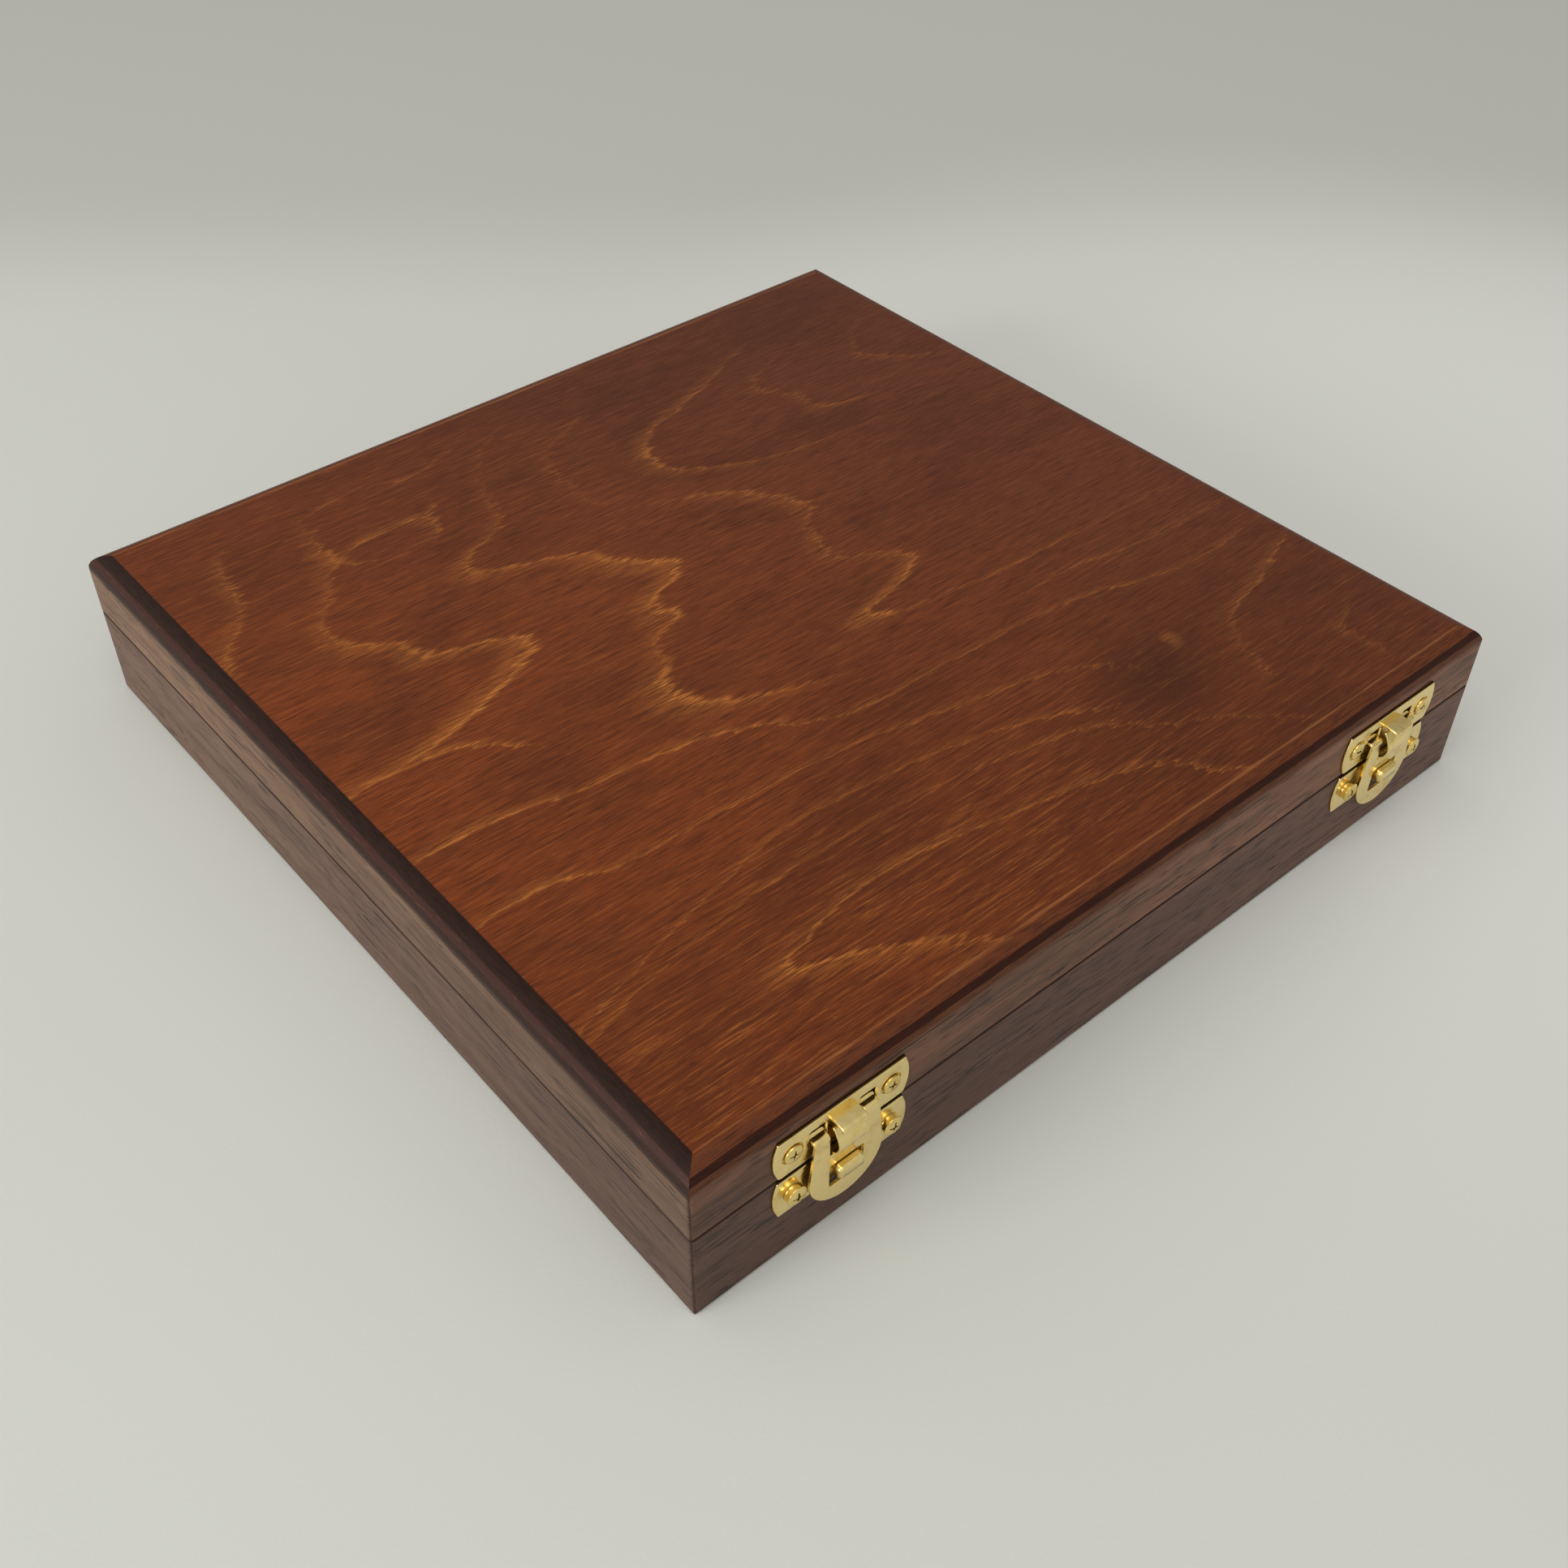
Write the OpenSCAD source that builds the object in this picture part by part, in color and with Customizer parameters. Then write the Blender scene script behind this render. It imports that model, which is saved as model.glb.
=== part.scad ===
// Hinged wooden presentation case with two spring catches.
// The seam between base and lid is level; the catches are on the front (-Y), the hinges at the back.

/* [Case] */
// Width of the case, along the front
case_w = 270; // [230:5:320]
// Depth of the case, front to back
case_d = 270; // [230:5:320]
// Height of the base, from the underside to the seam
base_h = 28; // [24:1:44]
// Height of the lid, from the seam to the top
lid_h = 19.3; // [17.5:0.1:32]
// Gap at the seam between the closed lid and the base
lid_gap = 0.2; // [0.1:0.05:0.4]
// Thickness of the eight rails
rail_t = 11; // [10:0.5:16]
// Thickness of the plywood lid panel
top_panel_t = 4; // [3:0.25:5]
// Thickness of the plywood bottom panel
bottom_panel_t = 4; // [3:0.25:6]
// How far the bottom panel laps under the rails
rebate_w = 5; // [3:0.5:7]
// Gap round the bottom panel in its rebate
panel_fit = 0.1; // [0.05:0.05:0.3]
// Radius of the rounded edge of the lid
top_round_r = 5.7; // [4.5:0.1:7]
// Radius of the eased upright corners
corner_r = 1.2; // [0.6:0.1:2]
// Radius of the eased edge round the underside
foot_ease_r = 1.2; // [0.6:0.1:2]
// Radius of the eased edges at the seam
seam_ease_r = 0.6; // [0.3:0.1:0.9]

/* [Lining] */
// Thickness of the lined board in the base
tray_pad_t = 3; // [2:0.5:6]
// Thickness of the lined board in the lid
lid_pad_t = 3; // [2:0.5:5]
// Gap between a lined board and the rails round it
pad_fit = 0.4; // [0.3:0.1:1]

/* [Catches] */
// Distance from the middle of a catch to the side of the case
catch_inset = 40; // [32:1:70]
// Greatest width of a catch plate
plate_w = 38; // [36:0.5:42]
// Height of a catch plate
plate_h = 12.2; // [11.8:0.1:13]
// How far the face of the lid plate stands out from the wood
plate_t = 0.8; // [0.7:0.05:1]
// Thickness of the keeper plate
keeper_t = 0.7; // [0.6:0.05:1]
// Height of the lid plate above the lower edge of the lid
plate_rise = 1; // [0.6:0.1:1.4]
// Drop of the keeper plate below the top edge of the base
keeper_drop = 0.1; // [0.1:0.1:0.6]
// Radius of the bowed plate ends
plate_end_r = 14.5; // [12:0.5:18]
// Depth of the widest line of a plate below its top edge
plate_bow_drop = 6.1; // [5:0.1:6.5]
// Height of the flap's hinge line above the lower edge of the lid plate
pivot_rise = 5.7; // [5.4:0.05:5.8]
// Distance from the hinge line to the middle of the flap's round end
flap_reach = 13.5; // [13:0.1:14.5]
// Radius of the flap's round end
flap_r = 10.4; // [9.9:0.1:10.6]
// Half width of the flap at its hinge line
flap_top_half_w = 9.1; // [8.8:0.05:9.2]
// Thickness of the flap
flap_t = 0.8; // [0.6:0.05:0.9]
// Gap between the closed flap and the lid plate
flap_stand_off = 0.9; // [0.6:0.05:1]
// Radius of the rolled barrels on the flap's ears
ear_r = 0.55; // [0.5:0.01:0.6]
// Length of a rolled barrel
ear_len = 6; // [5.6:0.1:6.4]
// Width of the flap's windows
window_w = 9.7; // [9.4:0.1:9.9]
// Drop of the crossbar's top edge below the hinge line
crossbar_drop = 7.1; // [7:0.1:7.6]
// Height of the crossbar between the windows
crossbar_h = 3.7; // [3.2:0.1:4.2]
// Height of the lower window
window_h = 7.5; // [6.8:0.1:7.8]
// Width of the tab over the upper window
tab_w = 7; // [6:0.25:7.5]
// How far the tab stands out from the wood
tab_out = 5; // [4.6:0.1:5.4]
// Thickness of the tab
tab_t = 0.8; // [0.6:0.05:1]
// Height of the slots' top edge, and of the tab, above the lower edge of the lid plate
slot_top_rise = 9.2; // [9.1:0.05:9.4]
// Gap round an ear in its slot
slot_fit = 0.4; // [0.3:0.05:0.5]
// Depth of the pocket in the rail behind the ears
ear_pocket_depth = 1.8; // [1.75:0.05:2.4]
// Width of the hooded nose on the keeper plate
nose_w = 7.4; // [6.8:0.1:8]
// Height of the nose
nose_h = 3; // [2.6:0.1:3.6]
// How far the nose stands out from the wood
nose_out = 4.6; // [4.2:0.1:4.8]
// Thickness of the nose's walls
nose_t = 0.8; // [0.6:0.05:1]
// Gap between the nose and the crossbar
nose_fit = 0.35; // [0.3:0.05:0.6]
// Outer radius of the spring tongue's bow
spring_r = 4.4; // [4.2:0.05:4.5]
// Thickness of the spring tongue
spring_t = 0.6; // [0.4:0.05:0.8]
// Width of the spring tongue
spring_w = 7.8; // [7:0.1:8.4]

/* [Catch screws] */
// Distance between the two screws of a plate
catch_screw_spacing = 27.4; // [26.5:0.1:28.2]
// Height of the screws below the top edge of a plate
catch_screw_drop = 6.1; // [5.6:0.1:6.6]
// Shank diameter of the catch screws
catch_screw_d = 2.2; // [1.8:0.1:2.4]
// Head diameter of the catch screws
catch_head_d = 5.2; // [4.6:0.1:5.4]
// Height of the dome on the lid plate's raised countersunk screws
raised_head_h = 1.1; // [0.6:0.1:1.3]
// Head height of the keeper's pan-head screws
pan_head_h = 2.4; // [1.8:0.1:2.6]
// Length of the catch screws in the wood
catch_screw_len = 8; // [6:0.5:9]
// Gap round a screw in its hole
screw_fit = 0.05; // [0.02:0.01:0.1]

/* [Hinges] */
// Distance from the middle of a hinge to the side of the case
hinge_inset = 55; // [38:1:80]
// Length of a hinge
hinge_len = 38; // [32:1:44]
// Depth of a hinge leaf on the rail's edge
leaf_depth = 8.5; // [8.3:0.1:9.5]
// Thickness of a hinge leaf
leaf_t = 1; // [0.8:0.05:1.3]
// Diameter of the knuckles
knuckle_d = 4.4; // [4:0.1:5]
// Diameter of the hinge pin
pin_d = 2; // [1.6:0.1:2.4]
// Gap round the pin in the lid leaf's knuckle
pin_fit = 0.04; // [0.02:0.01:0.08]
// Gap between the knuckles, and between a leaf and the other leaf's knuckle
knuckle_gap = 0.25; // [0.2:0.05:0.4]
// Gap between the knuckles and the back of the case
hinge_stand_off = 0.3; // [0.25:0.05:0.6]
// Distance between the outer screws of a leaf
hinge_screw_spacing = 27; // [24:0.5:28]
// Shank diameter of the hinge screws
hinge_screw_d = 2; // [1.6:0.1:2.2]
// Head diameter of the hinge screws
hinge_head_d = 3.8; // [3.4:0.1:4]
// Length of the hinge screws in the wood
hinge_screw_len = 9; // [7:0.5:10]

/* [Hidden] */
$fn = 48;
total_h = base_h + lid_gap + lid_h;
seam_lid_z = base_h + lid_gap;
inner_w = case_w - 2 * rail_t;
inner_d = case_d - 2 * rail_t;
front_y = -case_d / 2;
back_y = case_d / 2;
over = 1;

// catch heights, measured up from the underside
plate_z = seam_lid_z + plate_rise;
pivot_z = plate_z + pivot_rise;
keeper_top_z = base_h - keeper_drop;
crossbar_top_z = pivot_z - crossbar_drop;
window_top_z = crossbar_top_z - crossbar_h;
window_bottom_z = window_top_z - window_h;
flap_centre_z = pivot_z - flap_reach;

// catch distances, measured out from the front face
pivot_out = -(ear_r + 0.1);
flap_back = plate_t + flap_stand_off;
flap_front = flap_back + flap_t;
leg_w = flap_top_half_w - window_w / 2;
leg_mid_x = (flap_top_half_w + window_w / 2) / 2;
slot_w = leg_w + 2 * slot_fit;
slot_corner_r = 0.8;
flap_bend_r = 1.2;
nose_bend_r = 1.3;
tab_droop = 0.5;
tab_lip = 1.1;

// hinge places
axis_y = back_y + knuckle_d / 2 + hinge_stand_off;
axis_z = base_h + lid_gap / 2;
knuckle_len = (hinge_len - 2 * knuckle_gap) / 3;

recess_depth = 0.9;
pan_crown = 0.8;
recess_w = 0.55;
recess_len = 2.6;

wood_dark = "#5a4437";
wood_top = "#7b4526";
brass = "#c8b873";
lining = "#6b1f2a";

// ---- shared shapes ----

// outline in X and Z, given thickness outwards from the front face
module on_front(thickness, out = 0) {
    translate([0, front_y - out, 0]) rotate([90, 0, 0])
        linear_extrude(thickness) children();
}

// outline in distance out from the front face and Z, given width along X
module across_front(width) {
    translate([0, front_y, 0]) rotate([90, 0, -90])
        linear_extrude(width, center = true) children();
}

module at_catch(side) {
    translate([side * (case_w / 2 - catch_inset), 0, 0]) children();
}

module at_hinge(side) {
    translate([side * (case_w / 2 - hinge_inset), 0, 0]) children();
}

// corner waste of a rounded edge, for a corner at the origin that opens towards -x, -y
module corner_waste(r) {
    difference() {
        translate([-r, -r]) square([r + over, r + over]);
        translate([-r, -r]) circle(r);
    }
}

// side view of a case part, half its width each way, with its own edge radii
module part_profile(half, z0, z1, r_low, r_high) {
    difference() {
        translate([-half, z0]) square([2 * half, z1 - z0]);
        for (s = [-1, 1]) {
            translate([s * half, z1]) scale([s, 1]) corner_waste(r_high);
            translate([s * half, z0]) scale([s, -1]) corner_waste(r_low);
        }
    }
}

// plan of the case with eased upright corners
module case_plan() {
    difference() {
        square([case_w, case_d], center = true);
        for (sx = [-1, 1], sy = [-1, 1])
            translate([sx * case_w / 2, sy * case_d / 2]) scale([sx, sy]) corner_waste(corner_r);
    }
}

// full outer form of the base or the lid, edges rounded on all four sides
module outer_form(z0, z1, r_low, r_high) {
    intersection() {
        rotate([90, 0, 0]) linear_extrude(case_d + 2 * over, center = true)
            part_profile(case_w / 2, z0, z1, r_low, r_high);
        rotate([90, 0, 90]) linear_extrude(case_w + 2 * over, center = true)
            part_profile(case_d / 2, z0, z1, r_low, r_high);
        translate([0, 0, z0 - over]) linear_extrude(z1 - z0 + 2 * over) case_plan();
    }
}

module base_form() {
    outer_form(0, base_h, foot_ease_r, seam_ease_r);
}

module lid_form() {
    outer_form(seam_lid_z, total_h, seam_ease_r, top_round_r);
}

// mitred plan of one rail, 0 = front, 1 = right, 2 = back, 3 = left
module rail_plan(index) {
    long = index % 2 == 0 ? case_w : case_d;
    reach = index % 2 == 0 ? case_d : case_w;
    rotate(90 * index) translate([0, -reach / 2])
        polygon([[-long / 2, 0], [long / 2, 0], [long / 2 - rail_t, rail_t], [-long / 2 + rail_t, rail_t]]);
}

module base_rail(index) {
    color(wood_dark) difference() {
        intersection() {
            base_form();
            linear_extrude(base_h) rail_plan(index);
        }
        bottom_rebate();
        children();
    }
}

module lid_rail(index) {
    color(wood_dark) difference() {
        intersection() {
            lid_form();
            translate([0, 0, seam_lid_z]) linear_extrude(lid_h - top_panel_t) rail_plan(index);
        }
        children();
    }
}

module bottom_rebate() {
    translate([0, 0, (bottom_panel_t - over) / 2])
        cube([inner_w + 2 * rebate_w, inner_d + 2 * rebate_w, bottom_panel_t + over], center = true);
}

// ---- catches ----

// outline of both catch plates, lower edge at height 0
module plate_outline() {
    intersection() {
        translate([-plate_w / 2, 0]) square([plate_w, plate_h]);
        union() {
            for (s = [-1, 1])
                translate([s * (plate_w / 2 - plate_end_r), plate_h - plate_bow_drop]) circle(plate_end_r);
            translate([-plate_w / 2 + plate_end_r, 0]) square([plate_w - 2 * plate_end_r, plate_h]);
        }
    }
}

// opening for one ear of the flap, square below and rounded above
module slot_outline() {
    low = pivot_z - flap_t / 2 - slot_fit;
    high = plate_z + slot_top_rise;
    difference() {
        translate([-slot_w / 2, low]) square([slot_w, high - low]);
        for (s = [-1, 1])
            translate([s * slot_w / 2, high]) scale([s, 1]) corner_waste(slot_corner_r);
    }
}

// tab bent out of the lid plate, its front edge turned down
module tab_profile() {
    top = plate_z + slot_top_rise;
    polygon([[plate_t / 2, top - tab_t], [plate_t / 2, top], [tab_out - tab_lip, top - tab_droop],
        [tab_out, top - tab_droop - tab_lip + tab_t / 2], [tab_out - tab_t * 0.8, top - tab_droop - tab_lip],
        [tab_out - tab_lip - tab_t / 4, top - tab_droop - tab_t]]);
}

module catch_plate(side) {
    color(brass) at_catch(side) difference() {
        union() {
            on_front(plate_t) translate([0, plate_z]) plate_outline();
            across_front(tab_w) tab_profile();
        }
        for (s = [-1, 1]) translate([s * leg_mid_x, 0, 0]) on_front(plate_t + 2 * over, -over) slot_outline();
        plate_screw_places() screw_cut(catch_screw_d, catch_head_d, plate_t);
    }
}

// one leg of the flap from the side: it bends inwards at the top and runs through the slot to its barrel
module ear_profile() {
    top = pivot_z + flap_t / 2;
    difference() {
        translate([pivot_out, top - flap_bend_r]) square([flap_front - pivot_out, flap_bend_r]);
        translate([pivot_out - over, top - flap_bend_r - over])
            square([flap_back - pivot_out + over, flap_bend_r - flap_t + over]);
        translate([flap_front, top]) corner_waste(flap_bend_r);
    }
}

// flat part of the flap, up to the bend at the top of its legs
module flap_outline() {
    top = pivot_z + flap_t / 2 - flap_bend_r;
    difference() {
        union() {
            polygon([[-flap_top_half_w, top], [flap_top_half_w, top], [flap_r, flap_centre_z],
                [-flap_r, flap_centre_z]]);
            translate([0, flap_centre_z]) circle(flap_r);
        }
        translate([-window_w / 2, crossbar_top_z]) square([window_w, top + over - crossbar_top_z]);
        translate([-window_w / 2, window_bottom_z]) square([window_w, window_h]);
    }
}

module catch_flap(side) {
    color(brass) at_catch(side) {
        on_front(flap_t, flap_back) flap_outline();
        for (s = [-1, 1]) translate([s * leg_mid_x, 0, 0]) {
            across_front(leg_w) ear_profile();
            translate([0, front_y - pivot_out, pivot_z]) rotate([0, 90, 0])
                cylinder(h = ear_len, r = ear_r, center = true);
        }
    }
}

// pocket in the lid's front rail in which the rolled ears turn
module ear_pocket() {
    low = pivot_z - ear_r - slot_fit;
    high = plate_z + slot_top_rise + slot_fit;
    width = 2 * leg_mid_x + ear_len + 2 * slot_fit;
    translate([-width / 2, front_y - over, low]) cube([width, ear_pocket_depth + over, high - low]);
}

// bowed spring tongue that stands on the crossbar and presses under the tab
module spring_profile() {
    middle = [0, crossbar_top_z + spring_r + spring_t];
    intersection() {
        difference() {
            translate(middle) circle(spring_r);
            translate(middle) circle(spring_r - spring_t);
        }
        translate([flap_back, crossbar_top_z + spring_t]) square([2 * spring_r, 2 * spring_r]);
    }
    translate([flap_back, crossbar_top_z]) square([flap_t, 2 * spring_t]);
}

module catch_spring(side) {
    color(brass) at_catch(side) across_front(spring_w) spring_profile();
}

// hood seen from the side, with a rounded outer ridge and set in by the given amount
module nose_profile(inset) {
    top = window_top_z - nose_fit - inset;
    out = nose_out - inset;
    difference() {
        translate([keeper_t / 2, top - nose_h]) square([out - keeper_t / 2, nose_h]);
        translate([out, top]) corner_waste(nose_bend_r - inset);
    }
}

// pressed nose that the flap's lower window snaps over, open underneath
module nose() {
    difference() {
        across_front(nose_w) nose_profile(0);
        across_front(nose_w - 2 * nose_t) nose_profile(nose_t);
    }
}

module keeper(side) {
    color(brass) at_catch(side) difference() {
        union() {
            on_front(keeper_t) translate([0, keeper_top_z - plate_h]) plate_outline();
            nose();
        }
        keeper_screw_places() hole_cut(catch_screw_d, keeper_t);
    }
}

// ---- screws ----
// a screw is drawn with its axis along Z, its seat at 0 and its shank downwards

module cross_recess(top_z, depth) {
    for (a = [0, 90])
        translate([0, 0, top_z - depth / 2]) rotate([0, 0, a])
            cube([recess_len, recess_w, depth + 0.01], center = true);
}

// shallow dome on height 0
module head_dome(head_d, dome_h) {
    ball_r = (head_d * head_d / 4 + dome_h * dome_h) / (2 * dome_h);
    rotate_extrude() intersection() {
        translate([0, dome_h - ball_r]) circle(ball_r, $fn = 96);
        square([head_d / 2, dome_h]);
    }
}

module countersunk_body(d, head_d, len) {
    head_h = (head_d - d) / 2;
    translate([0, 0, -head_h]) cylinder(h = head_h, d1 = d, d2 = head_d);
    translate([0, 0, -len]) cylinder(h = len, d = d);
}

// countersunk head, flush with height 0
module flat_screw(d, head_d, len) {
    difference() {
        countersunk_body(d, head_d, len);
        cross_recess(0, (head_d - d) / 2 * 0.8);
    }
}

// countersunk head with a dome above height 0
module raised_screw(d, head_d, dome_h, len) {
    difference() {
        union() {
            countersunk_body(d, head_d, len);
            head_dome(head_d, dome_h);
        }
        cross_recess(dome_h, recess_depth);
    }
}

module screw_cut(d, head_d, sheet_t) {
    head_h = (head_d - d) / 2;
    translate([0, 0, -head_h])
        cylinder(h = head_h + 0.001, d1 = d + 2 * screw_fit, d2 = head_d + 2 * screw_fit);
    hole_cut(d, sheet_t);
}

module hole_cut(d, sheet_t) {
    translate([0, 0, -sheet_t - over]) cylinder(h = sheet_t + 2 * over, d = d + 2 * screw_fit);
}

// hole in the wood, a little deeper than the screw
module pilot_cut(d, head_d, len) {
    head_h = (head_d - d) / 2;
    translate([0, 0, -len - 0.5]) cylinder(h = len + 0.5 + over, d = d + 2 * screw_fit);
    translate([0, 0, -head_h]) cylinder(h = head_h, d1 = d + 2 * screw_fit, d2 = head_d + 2 * screw_fit);
}

// pan head that stands on height 0, with a slightly domed top
module pan_screw(d, head_d, head_h, len) {
    difference() {
        union() {
            translate([0, 0, head_h - pan_crown]) head_dome(head_d, pan_crown);
            cylinder(h = head_h - pan_crown, d = head_d);
            translate([0, 0, -len]) cylinder(h = len + over / 2, d = d);
        }
        cross_recess(head_h, recess_depth);
    }
}

// two places side by side on a plate's face, the given distance out from the wood
module screw_pair(height, out) {
    for (s = [-1, 1])
        translate([s * catch_screw_spacing / 2, front_y - out, height]) rotate([90, 0, 0]) children();
}

module plate_screw_places() {
    screw_pair(plate_z + plate_h - catch_screw_drop, plate_t) children();
}

module keeper_screw_places() {
    screw_pair(keeper_top_z - catch_screw_drop, keeper_t) children();
}

module plate_screws(side) {
    color(brass) at_catch(side) plate_screw_places()
        raised_screw(catch_screw_d, catch_head_d, raised_head_h, catch_screw_len + plate_t);
}

module keeper_screws(side) {
    color(brass) at_catch(side) keeper_screw_places()
        pan_screw(catch_screw_d, catch_head_d, pan_head_h, catch_screw_len + keeper_t);
}

// ---- hinges ----

module knuckle(x, len) {
    translate([x, axis_y, axis_z]) rotate([0, 90, 0]) cylinder(h = len, d = knuckle_d, center = true);
}

module pin_bore(fit) {
    translate([0, axis_y, axis_z]) rotate([0, 90, 0])
        cylinder(h = hinge_len + 2 * over, d = pin_d + 2 * fit, center = true);
}

// flat leaf with its lower face at height z, running out to the hinge line
module leaf_plate(z) {
    translate([-hinge_len / 2, back_y - leaf_depth, z])
        cube([hinge_len, axis_y - back_y + leaf_depth, leaf_t]);
}

// room for the other leaf's knuckle
module knuckle_room(x, len) {
    translate([x, axis_y, axis_z]) rotate([0, 90, 0])
        cylinder(h = len + 2 * knuckle_gap, d = knuckle_d + 2 * knuckle_gap, center = true);
}

module leaf_screw_places(z, up) {
    for (s = [-1, 0, 1])
        translate([s * hinge_screw_spacing / 2, back_y - leaf_depth / 2, z])
            rotate([up ? 180 : 0, 0, 0]) children();
}

module hinge_base_leaf(side) {
    outer_x = (hinge_len - knuckle_len) / 2;
    color(brass) at_hinge(side) difference() {
        union() {
            leaf_plate(base_h - leaf_t);
            for (s = [-1, 1]) knuckle(s * outer_x, knuckle_len);
        }
        knuckle_room(0, knuckle_len);
        pin_bore(0);
        leaf_screw_places(base_h, false) screw_cut(hinge_screw_d, hinge_head_d, leaf_t);
    }
}

module hinge_lid_leaf(side) {
    outer_x = (hinge_len - knuckle_len) / 2;
    color(brass) at_hinge(side) difference() {
        union() {
            leaf_plate(seam_lid_z);
            knuckle(0, knuckle_len);
        }
        for (s = [-1, 1]) knuckle_room(s * (outer_x + over), knuckle_len + 2 * over);
        pin_bore(pin_fit);
        leaf_screw_places(seam_lid_z, true) screw_cut(hinge_screw_d, hinge_head_d, leaf_t);
    }
}

module hinge_pin(side) {
    color(brass) at_hinge(side) translate([0, axis_y, axis_z]) rotate([0, 90, 0])
        cylinder(h = hinge_len, d = pin_d, center = true);
}

// recess for one leaf in the edge of a rail
module leaf_recess(z) {
    translate([-hinge_len / 2 - screw_fit, back_y - leaf_depth - screw_fit, z])
        cube([hinge_len + 2 * screw_fit, leaf_depth + over, leaf_t]);
}

module hinge_base_screws() {
    color(brass) for (side = [-1, 1]) at_hinge(side)
        leaf_screw_places(base_h, false) flat_screw(hinge_screw_d, hinge_head_d, hinge_screw_len);
}

module hinge_lid_screws() {
    color(brass) for (side = [-1, 1]) at_hinge(side)
        leaf_screw_places(seam_lid_z, true) flat_screw(hinge_screw_d, hinge_head_d, hinge_screw_len);
}

// ---- case ----

module base_front_rail() {
    base_rail(0) for (side = [-1, 1]) at_catch(side)
        keeper_screw_places() hole_cut(catch_screw_d, catch_screw_len + keeper_t);
}

module base_back_rail() {
    base_rail(2) for (side = [-1, 1]) at_hinge(side) {
        leaf_recess(base_h - leaf_t);
        translate([0, 0, over]) leaf_recess(base_h - leaf_t);
        leaf_screw_places(base_h, false) pilot_cut(hinge_screw_d, hinge_head_d, hinge_screw_len);
    }
}

module base_left_rail() {
    base_rail(3);
}

module base_right_rail() {
    base_rail(1);
}

module base_bottom_panel() {
    panel_w = inner_w + 2 * (rebate_w - panel_fit);
    panel_d = inner_d + 2 * (rebate_w - panel_fit);
    color(wood_top) translate([-panel_w / 2, -panel_d / 2, 0]) cube([panel_w, panel_d, bottom_panel_t]);
}

module lined_board(z, thickness) {
    board_w = inner_w - 2 * pad_fit;
    board_d = inner_d - 2 * pad_fit;
    color(lining) translate([-board_w / 2, -board_d / 2, z]) cube([board_w, board_d, thickness]);
}

module tray_pad() {
    lined_board(bottom_panel_t, tray_pad_t);
}

module lid_front_rail() {
    lid_rail(0) for (side = [-1, 1]) at_catch(side) {
        ear_pocket();
        plate_screw_places() pilot_cut(catch_screw_d, catch_head_d, catch_screw_len + plate_t);
    }
}

module lid_back_rail() {
    lid_rail(2) for (side = [-1, 1]) at_hinge(side) {
        leaf_recess(seam_lid_z);
        translate([0, 0, -over]) leaf_recess(seam_lid_z);
        leaf_screw_places(seam_lid_z, true) pilot_cut(hinge_screw_d, hinge_head_d, hinge_screw_len);
    }
}

module lid_left_rail() {
    lid_rail(3);
}

module lid_right_rail() {
    lid_rail(1);
}

module lid_top_panel() {
    color(wood_top) intersection() {
        lid_form();
        translate([-case_w / 2 - over, -case_d / 2 - over, total_h - top_panel_t])
            cube([case_w + 2 * over, case_d + 2 * over, top_panel_t + over]);
    }
}

module lid_pad() {
    lined_board(total_h - top_panel_t - lid_pad_t, lid_pad_t);
}

base_front_rail();
base_back_rail();
base_left_rail();
base_right_rail();
base_bottom_panel();
tray_pad();
lid_front_rail();
lid_back_rail();
lid_left_rail();
lid_right_rail();
lid_top_panel();
lid_pad();
catch_plate(-1);  // catch_plate_left
catch_plate(1);  // catch_plate_right
catch_flap(-1);  // catch_flap_left
catch_flap(1);  // catch_flap_right
catch_spring(-1);  // catch_spring_left
catch_spring(1);  // catch_spring_right
keeper(-1);  // keeper_left
keeper(1);  // keeper_right
plate_screws(-1);  // plate_screws_left
plate_screws(1);  // plate_screws_right
keeper_screws(-1);  // keeper_screws_left
keeper_screws(1);  // keeper_screws_right
hinge_base_leaf(-1);  // hinge_base_leaf_left
hinge_base_leaf(1);  // hinge_base_leaf_right
hinge_lid_leaf(-1);  // hinge_lid_leaf_left
hinge_lid_leaf(1);  // hinge_lid_leaf_right
hinge_pin(-1);  // hinge_pin_left
hinge_pin(1);  // hinge_pin_right
hinge_base_screws();
hinge_lid_screws();
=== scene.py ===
import math
import random

import bmesh
import bpy
from bpy.props import FloatProperty, FloatVectorProperty, PointerProperty
from mathutils import Matrix, Vector


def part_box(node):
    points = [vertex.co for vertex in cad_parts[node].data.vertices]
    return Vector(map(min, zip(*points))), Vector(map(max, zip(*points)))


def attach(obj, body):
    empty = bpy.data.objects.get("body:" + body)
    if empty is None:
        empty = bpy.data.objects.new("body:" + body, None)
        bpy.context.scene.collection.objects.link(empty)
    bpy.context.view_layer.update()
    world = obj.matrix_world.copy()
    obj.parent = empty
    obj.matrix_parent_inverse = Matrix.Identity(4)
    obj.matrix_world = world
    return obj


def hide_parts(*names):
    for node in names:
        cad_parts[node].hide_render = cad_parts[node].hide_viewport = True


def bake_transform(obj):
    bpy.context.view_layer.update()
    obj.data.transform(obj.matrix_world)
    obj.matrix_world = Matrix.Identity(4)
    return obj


bl_info = {
    "name": "Hinged Wooden Presentation Case",
    "version": (1, 0, 0),
    "blender": (4, 5, 0),
    "location": "View3D > Sidebar > Case",
    "description": "Finishes a hinged wooden case: stained rails, plywood lid, brass catches and hinges, lining",
    "category": "Object",
}

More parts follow.
